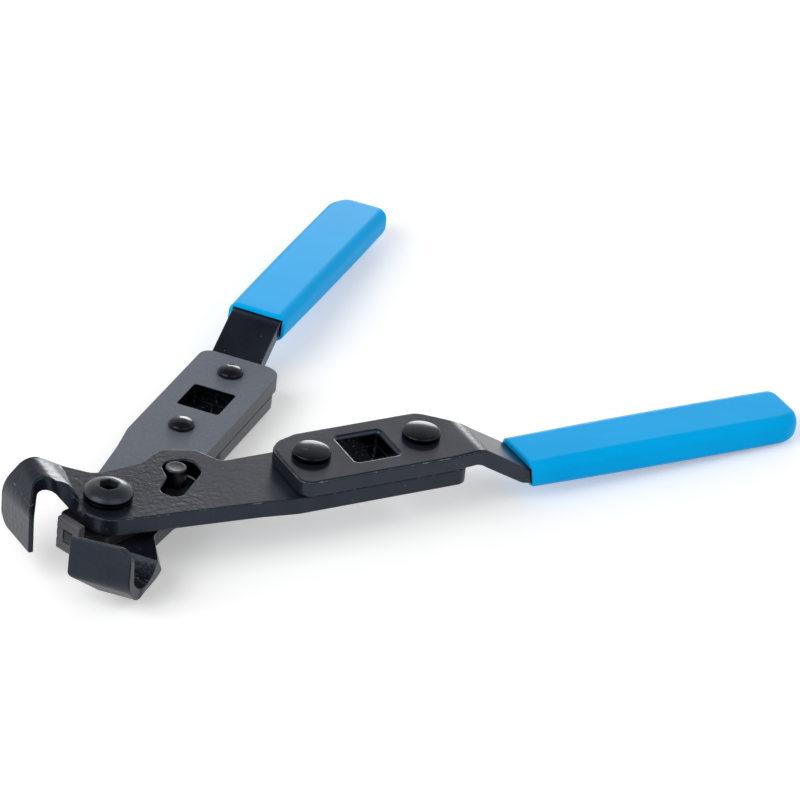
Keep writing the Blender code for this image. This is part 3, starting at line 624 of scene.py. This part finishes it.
def rim_layers(outline, face, flare, out):
    """A cutter's layers from a hole's wall past a face, over a rim drawn in by a quarter round; out
    is 1 for an upper face and -1 for a lower one. Past 75 degrees the rim goes on straight."""
    straight = 0.08
    still_below = 0.035 * flare
    layers = []
    for angle in (0, 15, 30, 45, 60, 75):
        turn = math.radians(angle)
        growth = flare * (1 - math.cos(turn))
        layers.append((grown(outline, growth), face - out * flare * (1 - math.sin(turn))))
    widest = grown(outline, growth + straight * math.tan(turn))
    return layers + [(widest, face + out * (straight - still_below)), (widest, face + out)]


def hole_cutter(name, outline, low, low_flare, high, high_flare):
    """A cutter for a punched hole between two faces."""
    layers = rim_layers(outline, low, low_flare, -1)[::-1] + rim_layers(outline, high, high_flare, 1)
    return to_object(name, stacked(layers))


def round_cutter(radius, x, y):
    """A cutter for a round hole, tall enough for plate and bar."""
    outline = [Vector((x, y)) + p for p in arc((0, 0), radius, 0, math.radians(352.5), 47)]
    return to_object("cut_round", prism(outline, -4.0, BAR_TOP + 4.0))


def rivet_cutters():
    return [round_cutter(RIVET_RADIUS + CLEARANCE, x, DRIVE_LINE) for _, x in RIVETS]


def turned(profile, closed=False):
    """A solid of revolution about Z from a list of radius and height."""
    steps = 72
    turns = [2 * math.pi * step / steps for step in range(steps)]
    shape = bmesh.new()
    rings = []
    for radius, height in profile:
        if radius == 0:
            rings.append([shape.verts.new((0, 0, height))])
        else:
            rings.append([shape.verts.new((radius * math.cos(turn), radius * math.sin(turn), height))
                          for turn in turns])
    pairs = list(zip(rings, rings[1:]))
    if closed:
        pairs.append((rings[-1], rings[0]))
    for lower, upper in pairs:
        for step in range(steps):
            after = (step + 1) % steps
            corners = [lower[step % len(lower)], lower[after % len(lower)]]
            corners += [upper[after % len(upper)], upper[step % len(upper)]]
            shape.faces.new(list(dict.fromkeys(corners)))
    return shape


def finish_piece(thing, place, body, node, material, angle=35.0):
    """Puts the solid in its place, in metres, shades it, hides its CAD node and ties it to its body."""
    mesh = thing.data
    mesh.transform(place @ Matrix.Scale(MM, 4))
    mesh.materials.clear()
    mesh.materials.append(material)
    mesh.shade_smooth()
    mesh.set_sharp_from_angle(angle=math.radians(angle))
    step = thing.modifiers.new("even_normals", "WEIGHTED_NORMAL")
    step.keep_sharp = True
    step.weight = 80
    apply_modifiers(thing)
    thing.data.name = thing.name
    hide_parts(node)
    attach(thing, body)


def share_of(value, start, length):
    """How far a value has come from a start, as a share of a length between 0 and 1."""
    return min(1.0, max(0.0, (value - start) / length))


# Jaw plate with its hook

# Shares of the hook's width: even at first, then closer for the far corner's arc
EVEN_SHARE = 0.84
ACROSS = [step / 14 * EVEN_SHARE for step in range(14)]
ACROSS += [EVEN_SHARE, 0.87, 0.90, 0.925, 0.95, 0.97, 0.985, 0.995, 1.0]


def rounded_line(first, corners, last):
    """An open line in space whose inner corners, each a place, a radius and a number of steps, are
    rounded by arcs."""
    points = [first]
    places = [first] + [corner[0] for corner in corners] + [last]
    for index, (corner, radius, steps) in enumerate(corners):
        back = places[index] - corner
        ahead = places[index + 2] - corner
        half = back.angle(ahead) / 2
        reach = min(radius / math.tan(half), 0.48 * back.length, 0.48 * ahead.length)
        middle = (back.normalized() + ahead.normalized()).normalized()
        centre = corner + middle * (reach / math.cos(half))
        start = corner + back.normalized() * reach - centre
        turn = math.pi - 2 * half
        for step in range(steps + 1):
            points.append(centre + Matrix.Rotation(turn * step / steps, 3, ahead.cross(back)) @ start)
    points.append(last)
    return points


def hook_line(y, height, start, peak, shoulder, tip, drop, bulge=(0.0, 0.0, 0.0)):
    """One line of the hook: off the plate, over the peak and the shoulder, and down to the tip. The
    peak is how far ahead, how far along the jaw, how high above the plate, and its rounding. The
    shoulder has no place along the jaw. The first straight part bows out by bulge."""
    line = rounded_line(Vector((-start, y, height)), [
        (Vector((-peak[0], y + peak[1], PLATE_TOP + peak[2])), peak[3], 20),
        (Vector((-shoulder[0], y, PLATE_TOP + shoulder[1])), shoulder[2], 10),
    ], Vector((-tip, y, -drop)))
    bow = [line[0].lerp(line[1], share) + Vector(bulge) * (4 * share * (1 - share))
           for share in (0.2, 0.4, 0.6, 0.8)]
    return [line[0], *bow, *line[1:]]


def hook_sections():
    """Rows of points across the hook, an outer and an inner one for each step from the plate to the
    tip. The last step's far corner is rounded."""
    notch = 13.6
    near_drop, far_drop = 6.5, 7.8
    near_lines = (
        hook_line(HOOK_NEAR_Y, PLATE_TOP, start=8.2, peak=(16.1, notch, 6.35, 5.4),
                  shoulder=(23.2, -1.55, 1.8), tip=22.8, drop=near_drop, bulge=(1.7, 1.4, 0.3)),
        hook_line(HOOK_NEAR_Y, HALF_GAP, start=8.6, peak=(14.6, notch, 1.60, 4.6),
                  shoulder=(21.7, -2.55, 1.5), tip=21.3, drop=near_drop))
    far_lines = (
        hook_line(HOOK_FAR_Y, PLATE_TOP, start=5.2, peak=(15.6, 0.0, 5.85, 5.5),
                  shoulder=(23.1, -2.05, 8.8), tip=22.7, drop=far_drop),
        hook_line(HOOK_FAR_Y, HALF_GAP, start=8.7, peak=(14.3, 0.0, 2.25, 2.3),
                  shoulder=(19.7, -2.65, 3.1), tip=21.0, drop=far_drop))
    corner = 4.8
    width = HOOK_FAR_Y - HOOK_NEAR_Y
    sections = []
    last = len(near_lines[0]) - 1
    for index in range(last + 1):
        rows = []
        for near_line, far_line in zip(near_lines, far_lines):
            row = []
            for share in ACROSS:
                point = near_line[index].lerp(far_line[index], share)
                if index == last:
                    above = near_line[index - 1].lerp(far_line[index - 1], share)
                    into = max(0.0, corner - width * (1 - share))
                    rise = corner - math.sqrt(corner ** 2 - into ** 2)
                    point = point.lerp(above, rise / (above - point).length)
                row.append(point)
            rows.append(row)
        sections.append(rows)
    return sections


def jaw_plate(name):
    """The stamped plate and its hook as one shape, with rounded edges and punched holes."""
    sections = hook_sections()
    outline = rounded_outline(plate_corners())
    shape = bmesh.new()
    outer = [[shape.verts.new(point) for point in rows[0]] for rows in sections]
    inner = [[shape.verts.new(point) for point in rows[1]] for rows in sections]
    top = [outer[0][0]] + [shape.verts.new((x, y, PLATE_TOP)) for x, y in outline[1:-1]] + [outer[0][-1]]
    bottom = [inner[0][0]] + [shape.verts.new((x, y, HALF_GAP)) for x, y in outline[1:-1]] + [inner[0][-1]]

    # The flat plate
    shape.faces.new(top + outer[0][-2:0:-1])
    shape.faces.new((bottom + inner[0][-2:0:-1])[::-1])
    for index in range(len(top) - 1):
        shape.faces.new((bottom[index], bottom[index + 1], top[index + 1], top[index]))

    # The hook's two sides, its two rims and its end
    last = len(ACROSS) - 1
    for before in range(len(outer) - 1):
        after = before + 1
        for across in range(last):
            shape.faces.new((outer[before][across], outer[before][across + 1],
                             outer[after][across + 1], outer[after][across]))
            shape.faces.new((inner[before][across], inner[after][across],
                             inner[after][across + 1], inner[before][across + 1]))
        shape.faces.new((outer[before][0], outer[after][0], inner[after][0], inner[before][0]))
        shape.faces.new((outer[before][last], inner[before][last], inner[after][last], outer[after][last]))
    for across in range(last):
        shape.faces.new((outer[-1][across], outer[-1][across + 1], inner[-1][across + 1], inner[-1][across]))

    # How much each edge is rounded
    weights = {}
    for loop, weight in ((top, 1.0), (bottom, 0.3)):
        for a, b in zip(loop, loop[1:]):
            weights[frozenset((a, b))] = weight
    for grid, weight in ((outer, 0.8), (inner, 0.35)):
        for across in (0, last):
            for a, b in zip(grid, grid[1:]):
                weights[frozenset((a[across], b[across]))] = weight
        for a, b in zip(grid[-1], grid[-1][1:]):
            weights[frozenset((a, b))] = 0.45
    weigh_edges(shape, lambda edge: weights.get(frozenset(edge.verts), 0.0))
    plate = to_object(name, shape)
    bevel_by_weight(plate, 0.55)
    cut(plate, [
        hole_cutter("cut_slot", slot_outline(), HALF_GAP, 0.15, PLATE_TOP, 0.55),
        hole_cutter("cut_square", drive_square(), HALF_GAP, 0.25, PLATE_TOP, 0.5),
        round_cutter(BORE_RADIUS, 0.0, 0.0),
        *rivet_cutters(),
    ])
    return plate


def lean_hook(thing):
    """Moves the lower hook a little towards the middle of the tool, its far rim the most."""
    lean, far_lean = 1.0, 0.9
    hook_start, front_start, front_length = -5.0, 10.0, 6.0
    rise_length, far_start = 5.0, 8.0
    for vert in thing.data.vertices:
        x, y, z = vert.co
        if x > hook_start:
            continue
        share = max(share_of(z, PLATE_TOP, rise_length), share_of(-x, front_start, front_length))
        far = share_of(y, far_start, HOOK_FAR_Y - far_start)
        vert.co.y -= share * share * (3 - 2 * share) * (lean + far_lean * far)


# Handle bar

def crank(x):
    """Height of the bar's middle and the bar's slope: a straight run down with a bend at each end."""
    drop = BAR_BOTTOM + BAR_THICKNESS / 2
    share = share_of(x, CRANK_START, CRANK_LENGTH)
    end = min(share, 1 - share)
    if end < CRANK_BEND:
        fallen = end * end / (2 * CRANK_BEND * (1 - CRANK_BEND))
    else:
        fallen = (end - CRANK_BEND / 2) / (1 - CRANK_BEND)
    if share > 0.5:
        fallen = 1 - fallen
    slope = -drop / CRANK_LENGTH * min(end, CRANK_BEND) / (CRANK_BEND * (1 - CRANK_BEND))
    return drop * (1 - fallen), slope


def set_handle(thing):
    """Bends a lower handle down and away from the other one, from the plate's rear end on."""
    for vert in thing.data.vertices:
        into = max(0.0, vert.co.x - PLATE_REAR)
        reach = into * into / (2 * CRANK_LENGTH) if into < CRANK_LENGTH else into - CRANK_LENGTH / 2
        vert.co.z += reach * LOWER_TILT
        vert.co.y -= reach * LOWER_SWING


def handle_bar(name):
    """The flat bar with rounded edges, cranked down to the middle plane, and its holes."""
    near, far = PLATE_NEAR - 0.6, 8.3
    outline = rounded_outline([
        (BAR_FRONT, near, 3.8), (99.5, near, 6.0), (109.0, NECK_NEAR, 6.0), (TANG_END, NECK_NEAR, 5.0),
        (TANG_END, NECK_FAR, 5.0), (110.0, NECK_FAR, 8.0), (99.8, far, 7.0), (61.0, far, 6.0),
        (54.6, 6.3, 6.0), (BAR_FRONT, 2.9, 5.0)])
    shape = prism(outline, -BAR_THICKNESS / 2, BAR_THICKNESS / 2)

    def weight_of(edge):
        a, b = (vert.co.z for vert in edge.verts)
        if a != b:
            return 0.0
        return 1.0 if a > 0 else 0.55

    weigh_edges(shape, weight_of)
    bar = to_object(name, shape)
    bevel_by_weight(bar, 0.8)
    shape = bmesh.new()
    shape.from_mesh(bar.data)
    steps = 36
    for step in range(steps + 1):
        place = CRANK_START + CRANK_LENGTH * step / steps
        everything = [*shape.verts, *shape.edges, *shape.faces]
        bmesh.ops.bisect_plane(shape, geom=everything, dist=0.0004,
                               plane_co=(place, 0, 0), plane_no=(1, 0, 0))
    for vert in shape.verts:
        height, slope = crank(vert.co.x)
        vert.co.z = height + vert.co.z / math.cos(math.atan(slope))
    shape.to_mesh(bar.data)
    shape.free()
    square = hole_cutter("cut_square", drive_square(), BAR_BOTTOM, 0.3, BAR_TOP, 1.4)
    cut(bar, [square, *rivet_cutters()])
    return bar


# Grip

def through(first, middle, last, share):
    """A smooth curve through three values, at shares 0, 0.5 and 1."""
    return (first * (1 - share) * (1 - 2 * share) + middle * 4 * share * (1 - share)
            + last * share * (2 * share - 1))


def quarter_round(into, radius):
    """How far a quarter round has drawn in, a given way into it."""
    into = max(0.0, into)
    return radius - math.sqrt(max(0.0, radius * radius - into * into))


def grip(name):
    """A dipped sleeve with a slanted mouth; it is thickest at its middle and its end is uneven."""
    start, end, lip = 125.3, 217.7, 0.7
    far_corner, near_corner, top_round, bottom_round = 4.5, 9.0, 5.2, 3.4
    skew_z, skew_y, middle_y, slant_length = -0.16, -0.03, -9.3, 30.0
    body_start, body_end = start + lip, end - near_corner
    body_steps, end_steps = 28, 22
    places = [start, start + 0.1, start + 0.25, start + 0.45, body_start]
    places += [body_start + (body_end - body_start) * step / body_steps
               for step in range(1, body_steps + 1)]
    places += [body_end + near_corner * math.sin(math.pi / 2 * step / end_steps)
               for step in range(1, end_steps + 1)]

    def rounding(place, radius):
        return quarter_round(place - (end - radius), radius)

    shape = bmesh.new()
    rings = []
    for place in places:
        share = (place - start) / (end - start)
        inset = quarter_round(lip - (place - start), lip)
        middle = through(0.30, 0.20, -0.05, share)
        half = through(4.20, 4.68, 4.50, share)
        far = through(0.25, 0.2, 0.1, share) - rounding(place, far_corner) - inset
        near = through(-18.5, -18.8, -18.9, share) + rounding(place, near_corner) + inset
        top = middle + half - rounding(place, top_round) - inset
        bottom = middle - half + rounding(place, bottom_round) + inset
        corner = min(3.2, (top - bottom) / 2)
        section = []
        for sy, sz, first in ((1, 1, 0), (-1, 1, 90), (-1, -1, 180), (1, -1, 270)):
            y = (far if sy > 0 else near) - sy * corner
            z = (top if sz > 0 else bottom) - sz * corner
            section += arc((y, z), corner, math.radians(first), math.radians(first + 90), 12)
        slant = max(0.0, 1 - (place - start) / slant_length)
        rings.append([shape.verts.new((place + slant * (skew_z * z + skew_y * (y - middle_y)), y, z))
                      for y, z in section])
    skin(shape, rings)
    bmesh.ops.remove_doubles(shape, verts=shape.verts, dist=0.002)
    sleeve = to_object(name, shape)
    near, far, inner = NECK_NEAR - CLEARANCE, NECK_FAR + CLEARANCE, TANG_END + CLEARANCE
    before, half = 120.0, BAR_THICKNESS / 2 + CLEARANCE
    hollow = rounded_outline([(before, near, 0), (inner, near, 5.0), (inner, far, 5.0), (before, far, 0)])
    cut(sleeve, [to_object("cut_hollow", prism(hollow, -half, half))])
    return sleeve


# Rivets, pivot and press

def rivet(name):
    """A glossy low crown on the bar and a small dome on the plate's inner face."""
    head_bottom = BAR_TOP + CLEARANCE
    head_top = head_bottom + 2.2
    head_radius, head_round, crown_radius = 5.55, 0.8, 26.0
    foot_top = HALF_GAP - CLEARANCE
    foot_bottom = foot_top - 1.8
    foot_radius, foot_round = 3.8, 1.2
    head_middle, foot_middle = head_radius - head_round, foot_radius - foot_round
    last = math.asin(head_middle / crown_radius)
    edge = head_top - crown_radius * (1 - math.cos(last))
    profile = [(0, foot_bottom), (1.2, foot_bottom + 0.05), (2.0, foot_bottom + 0.18),
               (foot_middle, foot_bottom + 0.40)]
    profile += arc((foot_middle, foot_top - 0.2), foot_round, -math.pi / 2 + 0.3, 0, 8)
    profile += [(foot_radius, foot_top), (RIVET_RADIUS, foot_top), (RIVET_RADIUS, head_bottom),
                (head_radius - 0.2, head_bottom), (head_radius, head_bottom + 0.2)]
    profile += arc((head_middle, edge - head_round), head_round, 0, math.pi / 2 - last, 8)
    for step in range(9, 0, -1):
        turn = last * step / 10
        profile.append((crown_radius * math.sin(turn), head_top - crown_radius * (1 - math.cos(turn))))
    return to_object(name, turned(profile + [(0, head_top)]))


def washer(name, bottom, radius, thickness):
    top = bottom + thickness
    profile = [(BORE_RADIUS, bottom), (radius - 0.2, bottom), (radius, bottom + 0.2)]
    profile += arc((radius - RIM_ROUND, top - RIM_ROUND), RIM_ROUND, 0, math.pi / 2, 6)
    return to_object(name, turned(profile + [(BORE_RADIUS, top)], closed=True))


def hexagon(flats):
    return arc((0, 0), flats / 2 / math.cos(math.pi / 6), 0, math.radians(300), 5)


def screw(name):
    """A button head with a hexagon socket, on a shank that ends in a cone."""
    head_top = HEAD_BOTTOM + HEAD_HEIGHT
    side, cone = 0.7, 0.8
    dome = arc((0, 0), 1.0, math.radians(12), math.radians(62), 18)
    low, high = dome[0].y, dome[-1].y
    crown = [(HEAD_RADIUS * p.x / dome[0].x,
              HEAD_BOTTOM + side + (HEAD_HEIGHT - side) * (p.y - low) / (high - low)) for p in dome]
    body = to_object(name, turned([
        (0, NUT_BOTTOM - cone), (SHANK_RADIUS - cone, NUT_BOTTOM - cone), (SHANK_RADIUS, NUT_BOTTOM),
        (SHANK_RADIUS, HEAD_BOTTOM), (HEAD_RADIUS - 0.15, HEAD_BOTTOM), (HEAD_RADIUS, HEAD_BOTTOM + 0.15),
        *crown, (0, head_top)]))
    socket = hexagon(5.0)
    mouth = grown(socket, 0.35)
    layers = [(socket, head_top - 2.4), (socket, head_top - 0.25),
              (mouth, head_top + 0.10), (mouth, head_top + 1.0)]
    cut(body, [to_object("cut_socket", stacked(layers))])
    return body


def nut(name):
    """A hexagon nut with its corners turned off and a countersunk bore."""
    top, bottom = NUT_TOP, NUT_BOTTOM
    body = to_object(name, prism(hexagon(NUT_FLATS), bottom, top))
    corner, flat = NUT_FLATS / 2 / math.cos(math.pi / 6) + 0.3, NUT_FLATS / 2 - 0.2
    rise = (corner - flat) * math.tan(math.pi / 6)
    cone = turned([(0, bottom - 1), (flat, bottom - 1), (flat, bottom), (corner, bottom + rise),
                   (corner, top - rise), (flat, top), (flat, top + 1), (0, top + 1)])
    cut(body, [to_object("cut_corners", cone)], "INTERSECT")
    sink = 0.5
    bore = turned([(0, bottom - 1), (BORE_RADIUS + sink, bottom - 1), (BORE_RADIUS + sink, bottom),
                   (BORE_RADIUS, bottom + sink), (BORE_RADIUS, top + 1), (0, top + 1)])
    cut(body, [to_object("cut_bore", bore)])
    return body


def bush(name):
    """A ring with two flats that the slide runs along."""
    flat = math.asin(BUSH_FLATS / (2 * BUSH_RADIUS))
    outline = arc((0, 0), BUSH_RADIUS, -flat, flat, 24)
    outline += arc((0, 0), BUSH_RADIUS, math.pi - flat, math.pi + flat, 24)
    body = to_object(name, prism(outline, -SLIDE_HALF, SLIDE_HALF))
    bevel_by_angle(body, 0.15)
    cut(body, [round_cutter(BORE_RADIUS, 0, 0)])
    return body


def slide(name):
    """The plate that carries the block: a tenon ahead, a window for the bush, a hole for the pin."""
    half, shoulder = 9.0, -12.3
    upper = [(32.3, 5.6, 5.6), (16.4, half, 4.0), (-8.8, half, 2.0), (shoulder, 4.15, 0.5),
             (shoulder, TENON_HALF, 0), (BLOCK_FACE, TENON_HALF, 0)]
    lower = [(x, -y, corner) for x, y, corner in upper[::-1]]
    body = to_object(name, prism(rounded_outline(upper + lower), -SLIDE_HALF, SLIDE_HALF))
    bevel_by_angle(body, 0.2)
    side = BUSH_FLATS / 2 + CLEARANCE
    window = box_outline(-BUSH_RADIUS - CLEARANCE, -side, BUSH_RADIUS + TRAVEL + CLEARANCE, side, 1.0)
    cut(body, [to_object("cut_window", prism(window, -4, 4)),
               round_cutter(PIN_RADIUS + CLEARANCE, PIN_REACH, 0)])
    return body


def cam_pin(name):
    """A round pin with a rounded rim and a slightly sunk upper end."""
    sunk = PLATE_TOP - 0.07
    profile = [(0, -PLATE_TOP), (PIN_RADIUS - 0.3, -PLATE_TOP), (PIN_RADIUS, -PLATE_TOP + 0.3)]
    profile += arc((PIN_RADIUS - RIM_ROUND, PLATE_TOP - RIM_ROUND), RIM_ROUND, 0, math.pi / 2, 6)
    pin = to_object(name, turned(profile + [(2.2, PLATE_TOP), (1.9, sunk), (0, sunk)]))
    pin.data.transform(Matrix.Translation((PIN_REACH, 0, 0)))
    return pin


def press_block(name):
    """The block with a rough toothed front face, cut across by shallow uneven grooves."""
    back = BLOCK_FACE + 2.4
    teeth = ((-5.0, 0.25), (-4.4, 0.0), (-3.7, 0.18), (-3.1, 0.02), (-1.9, 0.05), (-1.5, 0.20),
             (-0.9, 0.12), (-0.7, 0.0), (1.1, 0.0), (1.4, 0.22), (1.9, 0.05), (3.3, 0.0), (3.6, 0.20),
             (4.2, 0.05), (5.0, 0.30))
    side = [(back, 5.0), (back, -5.0)] + [(BLOCK_FACE + depth, height) for height, depth in teeth]
    shape = bmesh.new()
    skin(shape, [[shape.verts.new((x, y, z)) for x, z in side] for y in (-BLOCK_HALF, BLOCK_HALF)])
    block = to_object(name, shape)
    bevel_by_angle(block, 0.12, 30.0)
    reach, height = TENON_HALF + CLEARANCE, SLIDE_HALF + CLEARANCE
    hole = box_outline(BLOCK_FACE - 2, -reach, BLOCK_FACE + 4, reach, 0.2)
    cut(block, [to_object("cut_tenon", prism(hole, -height, height))])
    return block


# Everything together

def make_half(side, place, shift, gloss):
    """One half; its shift keeps its textures unlike the other's. The lower one's hook leans and its
    handle is bent."""
    body = side + "_half"
    plate = jaw_plate("plate_" + side)
    bar = handle_bar("bar_" + side)
    sleeve = grip("sleeve_" + side)
    if side == "lower":
        lean_hook(plate)
        set_handle(bar)
        set_handle(sleeve)
    finish_piece(plate, place, body, "jaw_plate_" + side, painted_plate(place, shift))
    finish_piece(bar, place, body, "handle_bar_" + side, painted_bar(place, shift))
    finish_piece(sleeve, place, body, "grip_" + side, blue_vinyl(place, shift), angle=50.0)
    for where, x in RIVETS:
        button = rivet("button_" + side + "_" + where)
        button.data.transform(Matrix.Translation((x, DRIVE_LINE, 0)))
        finish_piece(button, place, body, "rivet_" + side + "_" + where, gloss)


def make_pivot():
    low = PLATE_TOP + CLEARANCE
    worn = worn_black()
    for piece, node in (
            (screw("screw_head_and_shank"), "pivot_screw"),
            (washer("washer_top", low, 6.9, TOP_WASHER), "pivot_washer_top"),
            (washer("washer_bottom", -low - BOTTOM_WASHER, 8.0, BOTTOM_WASHER), "pivot_washer_bottom"),
            (nut("hex_nut"), "pivot_nut")):
        finish_piece(piece, UPPER, "upper_half", node, worn)


def make_press():
    # The bush and the slide sit between the plates: their bright steel is painted shade, nearly black
    steel_in_shade = oiled_steel("bright_steel", (0.004, 0.004, 0.005), (0.030, 0.031, 0.034),
                         rough=(0.35, 0.55), metallic=0.5, stretch=(1.0, 1.0, 0.05))
    pin_look = oiled_steel("pin_steel", (0.016, 0.018, 0.023), (0.040, 0.044, 0.054),
                           rough=(0.30, 0.45), metallic=0.3, shaded=PLATE_TOP - 0.5)
    block_look = oiled_steel("block_steel", (0.050, 0.050, 0.056), (0.095, 0.095, 0.106),
                             rough=(0.45, 0.65), metallic=0.3, stretch=(1.0, 0.06, 1.0))
    finish_piece(bush("bush_ring"), PRESS, "guide", "pivot_bush", steel_in_shade)
    finish_piece(slide("slide_plate"), PRESS, "press", "press_slide", steel_in_shade)
    finish_piece(press_block("toothed_block"), PRESS, "press", "press_block", block_look)
    finish_piece(cam_pin("pin_round"), PRESS, "press", "cam_pin", pin_look)


def white_rays(tree):
    """1 for rays from the camera, in reflections and through glass."""
    path = add_node(tree, "ShaderNodeLightPath")
    first = math_node(tree, "MAXIMUM", path.outputs["Is Camera Ray"], path.outputs["Is Glossy Ray"])
    return math_node(tree, "MAXIMUM", first, path.outputs["Is Transmission Ray"])


def make_floor():
    """A pale floor that glows a little, so that the camera and reflections see it as white."""
    half = 4.0
    corners = [(-half, -half, 0), (half, -half, 0), (half, half, 0), (-half, half, 0)]
    mesh = bpy.data.meshes.new("studio_floor")
    mesh.from_pydata(corners, [], [(0, 1, 2, 3)])
    floor = bpy.data.objects.new("studio_floor", mesh)
    bpy.context.scene.collection.objects.link(floor)
    look = new_material("studio_floor", Roughness=0.9, Specular_IOR_Level=0.0,
                        Base_Color=(0.86, 0.86, 0.86, 1.0), Emission_Color=(1.0, 1.0, 1.0, 1.0))
    tree = look.node_tree
    mesh.materials.append(wire(look, Emission_Strength=blend_value(tree, white_rays(tree), 0.0, 0.30)))


def make_world():
    """A white studio that lights less from overhead and from the side where the photograph was
    taken, and that the camera itself sees as plain white."""
    world = bpy.data.worlds.new("studio")
    bpy.context.scene.world = world
    world.use_nodes = True
    tree = world.node_tree
    back = tree.nodes["Background"]
    back.inputs["Color"].default_value = (1.0, 1.0, 1.0, 1.0)
    towards = add_node(tree, "ShaderNodeTexCoord").outputs["Generated"]
    height = separate(tree, towards)["Z"]
    overhead = ramp(tree, height, [(0.05, 1.0), (0.35, 1.0), (0.62, 0.72), (0.80, 0.26), (1.0, 0.16)])
    photo_side = (-0.51, -0.86, 0.0)
    front = add_node(tree, "ShaderNodeVectorMath", [(0, towards), (1, photo_side)],
                     operation="DOT_PRODUCT").outputs["Value"]
    side = blend_value(tree, front, 1.0, 0.36)
    strength = math_node(tree, "MULTIPLY", overhead, side)
    seen = add_node(tree, "ShaderNodeLightPath").outputs["Is Camera Ray"]
    tree.links.new(math_node(tree, "MAXIMUM", strength, seen), back.inputs["Strength"])


def add_lamp(name, place, size, power):
    """A square lamp that shines on the frame's origin; its place and size are in metres."""
    data = bpy.data.lights.new(name, "AREA")
    data.shape = "SQUARE"
    data.size = size
    data.energy = power
    lamp = bpy.data.objects.new(name, data)
    bpy.context.scene.collection.objects.link(lamp)
    turn = Vector(place).to_track_quat("Z", "Y").to_matrix().to_4x4()
    lamp.matrix_world = Matrix.Translation(place) @ turn


add_camera()
rivet_black = gloss_black()
make_half("upper", UPPER, (0.0, 0.0, 0.0), rivet_black)
make_half("lower", LOWER, (0.37, 0.21, 0.13), rivet_black)
make_pivot()
make_press()
make_floor()
make_world()
add_lamp("key", (-1.15, -0.25, 1.0), size=1.2, power=14.5)
add_lamp("fill", (0.3, -1.2, 1.1), size=1.2, power=5.0)
add_lamp("rim", (1.0, 1.5, 0.35), size=0.6, power=8.0)
bpy.context.scene.view_settings.view_transform = "Standard"
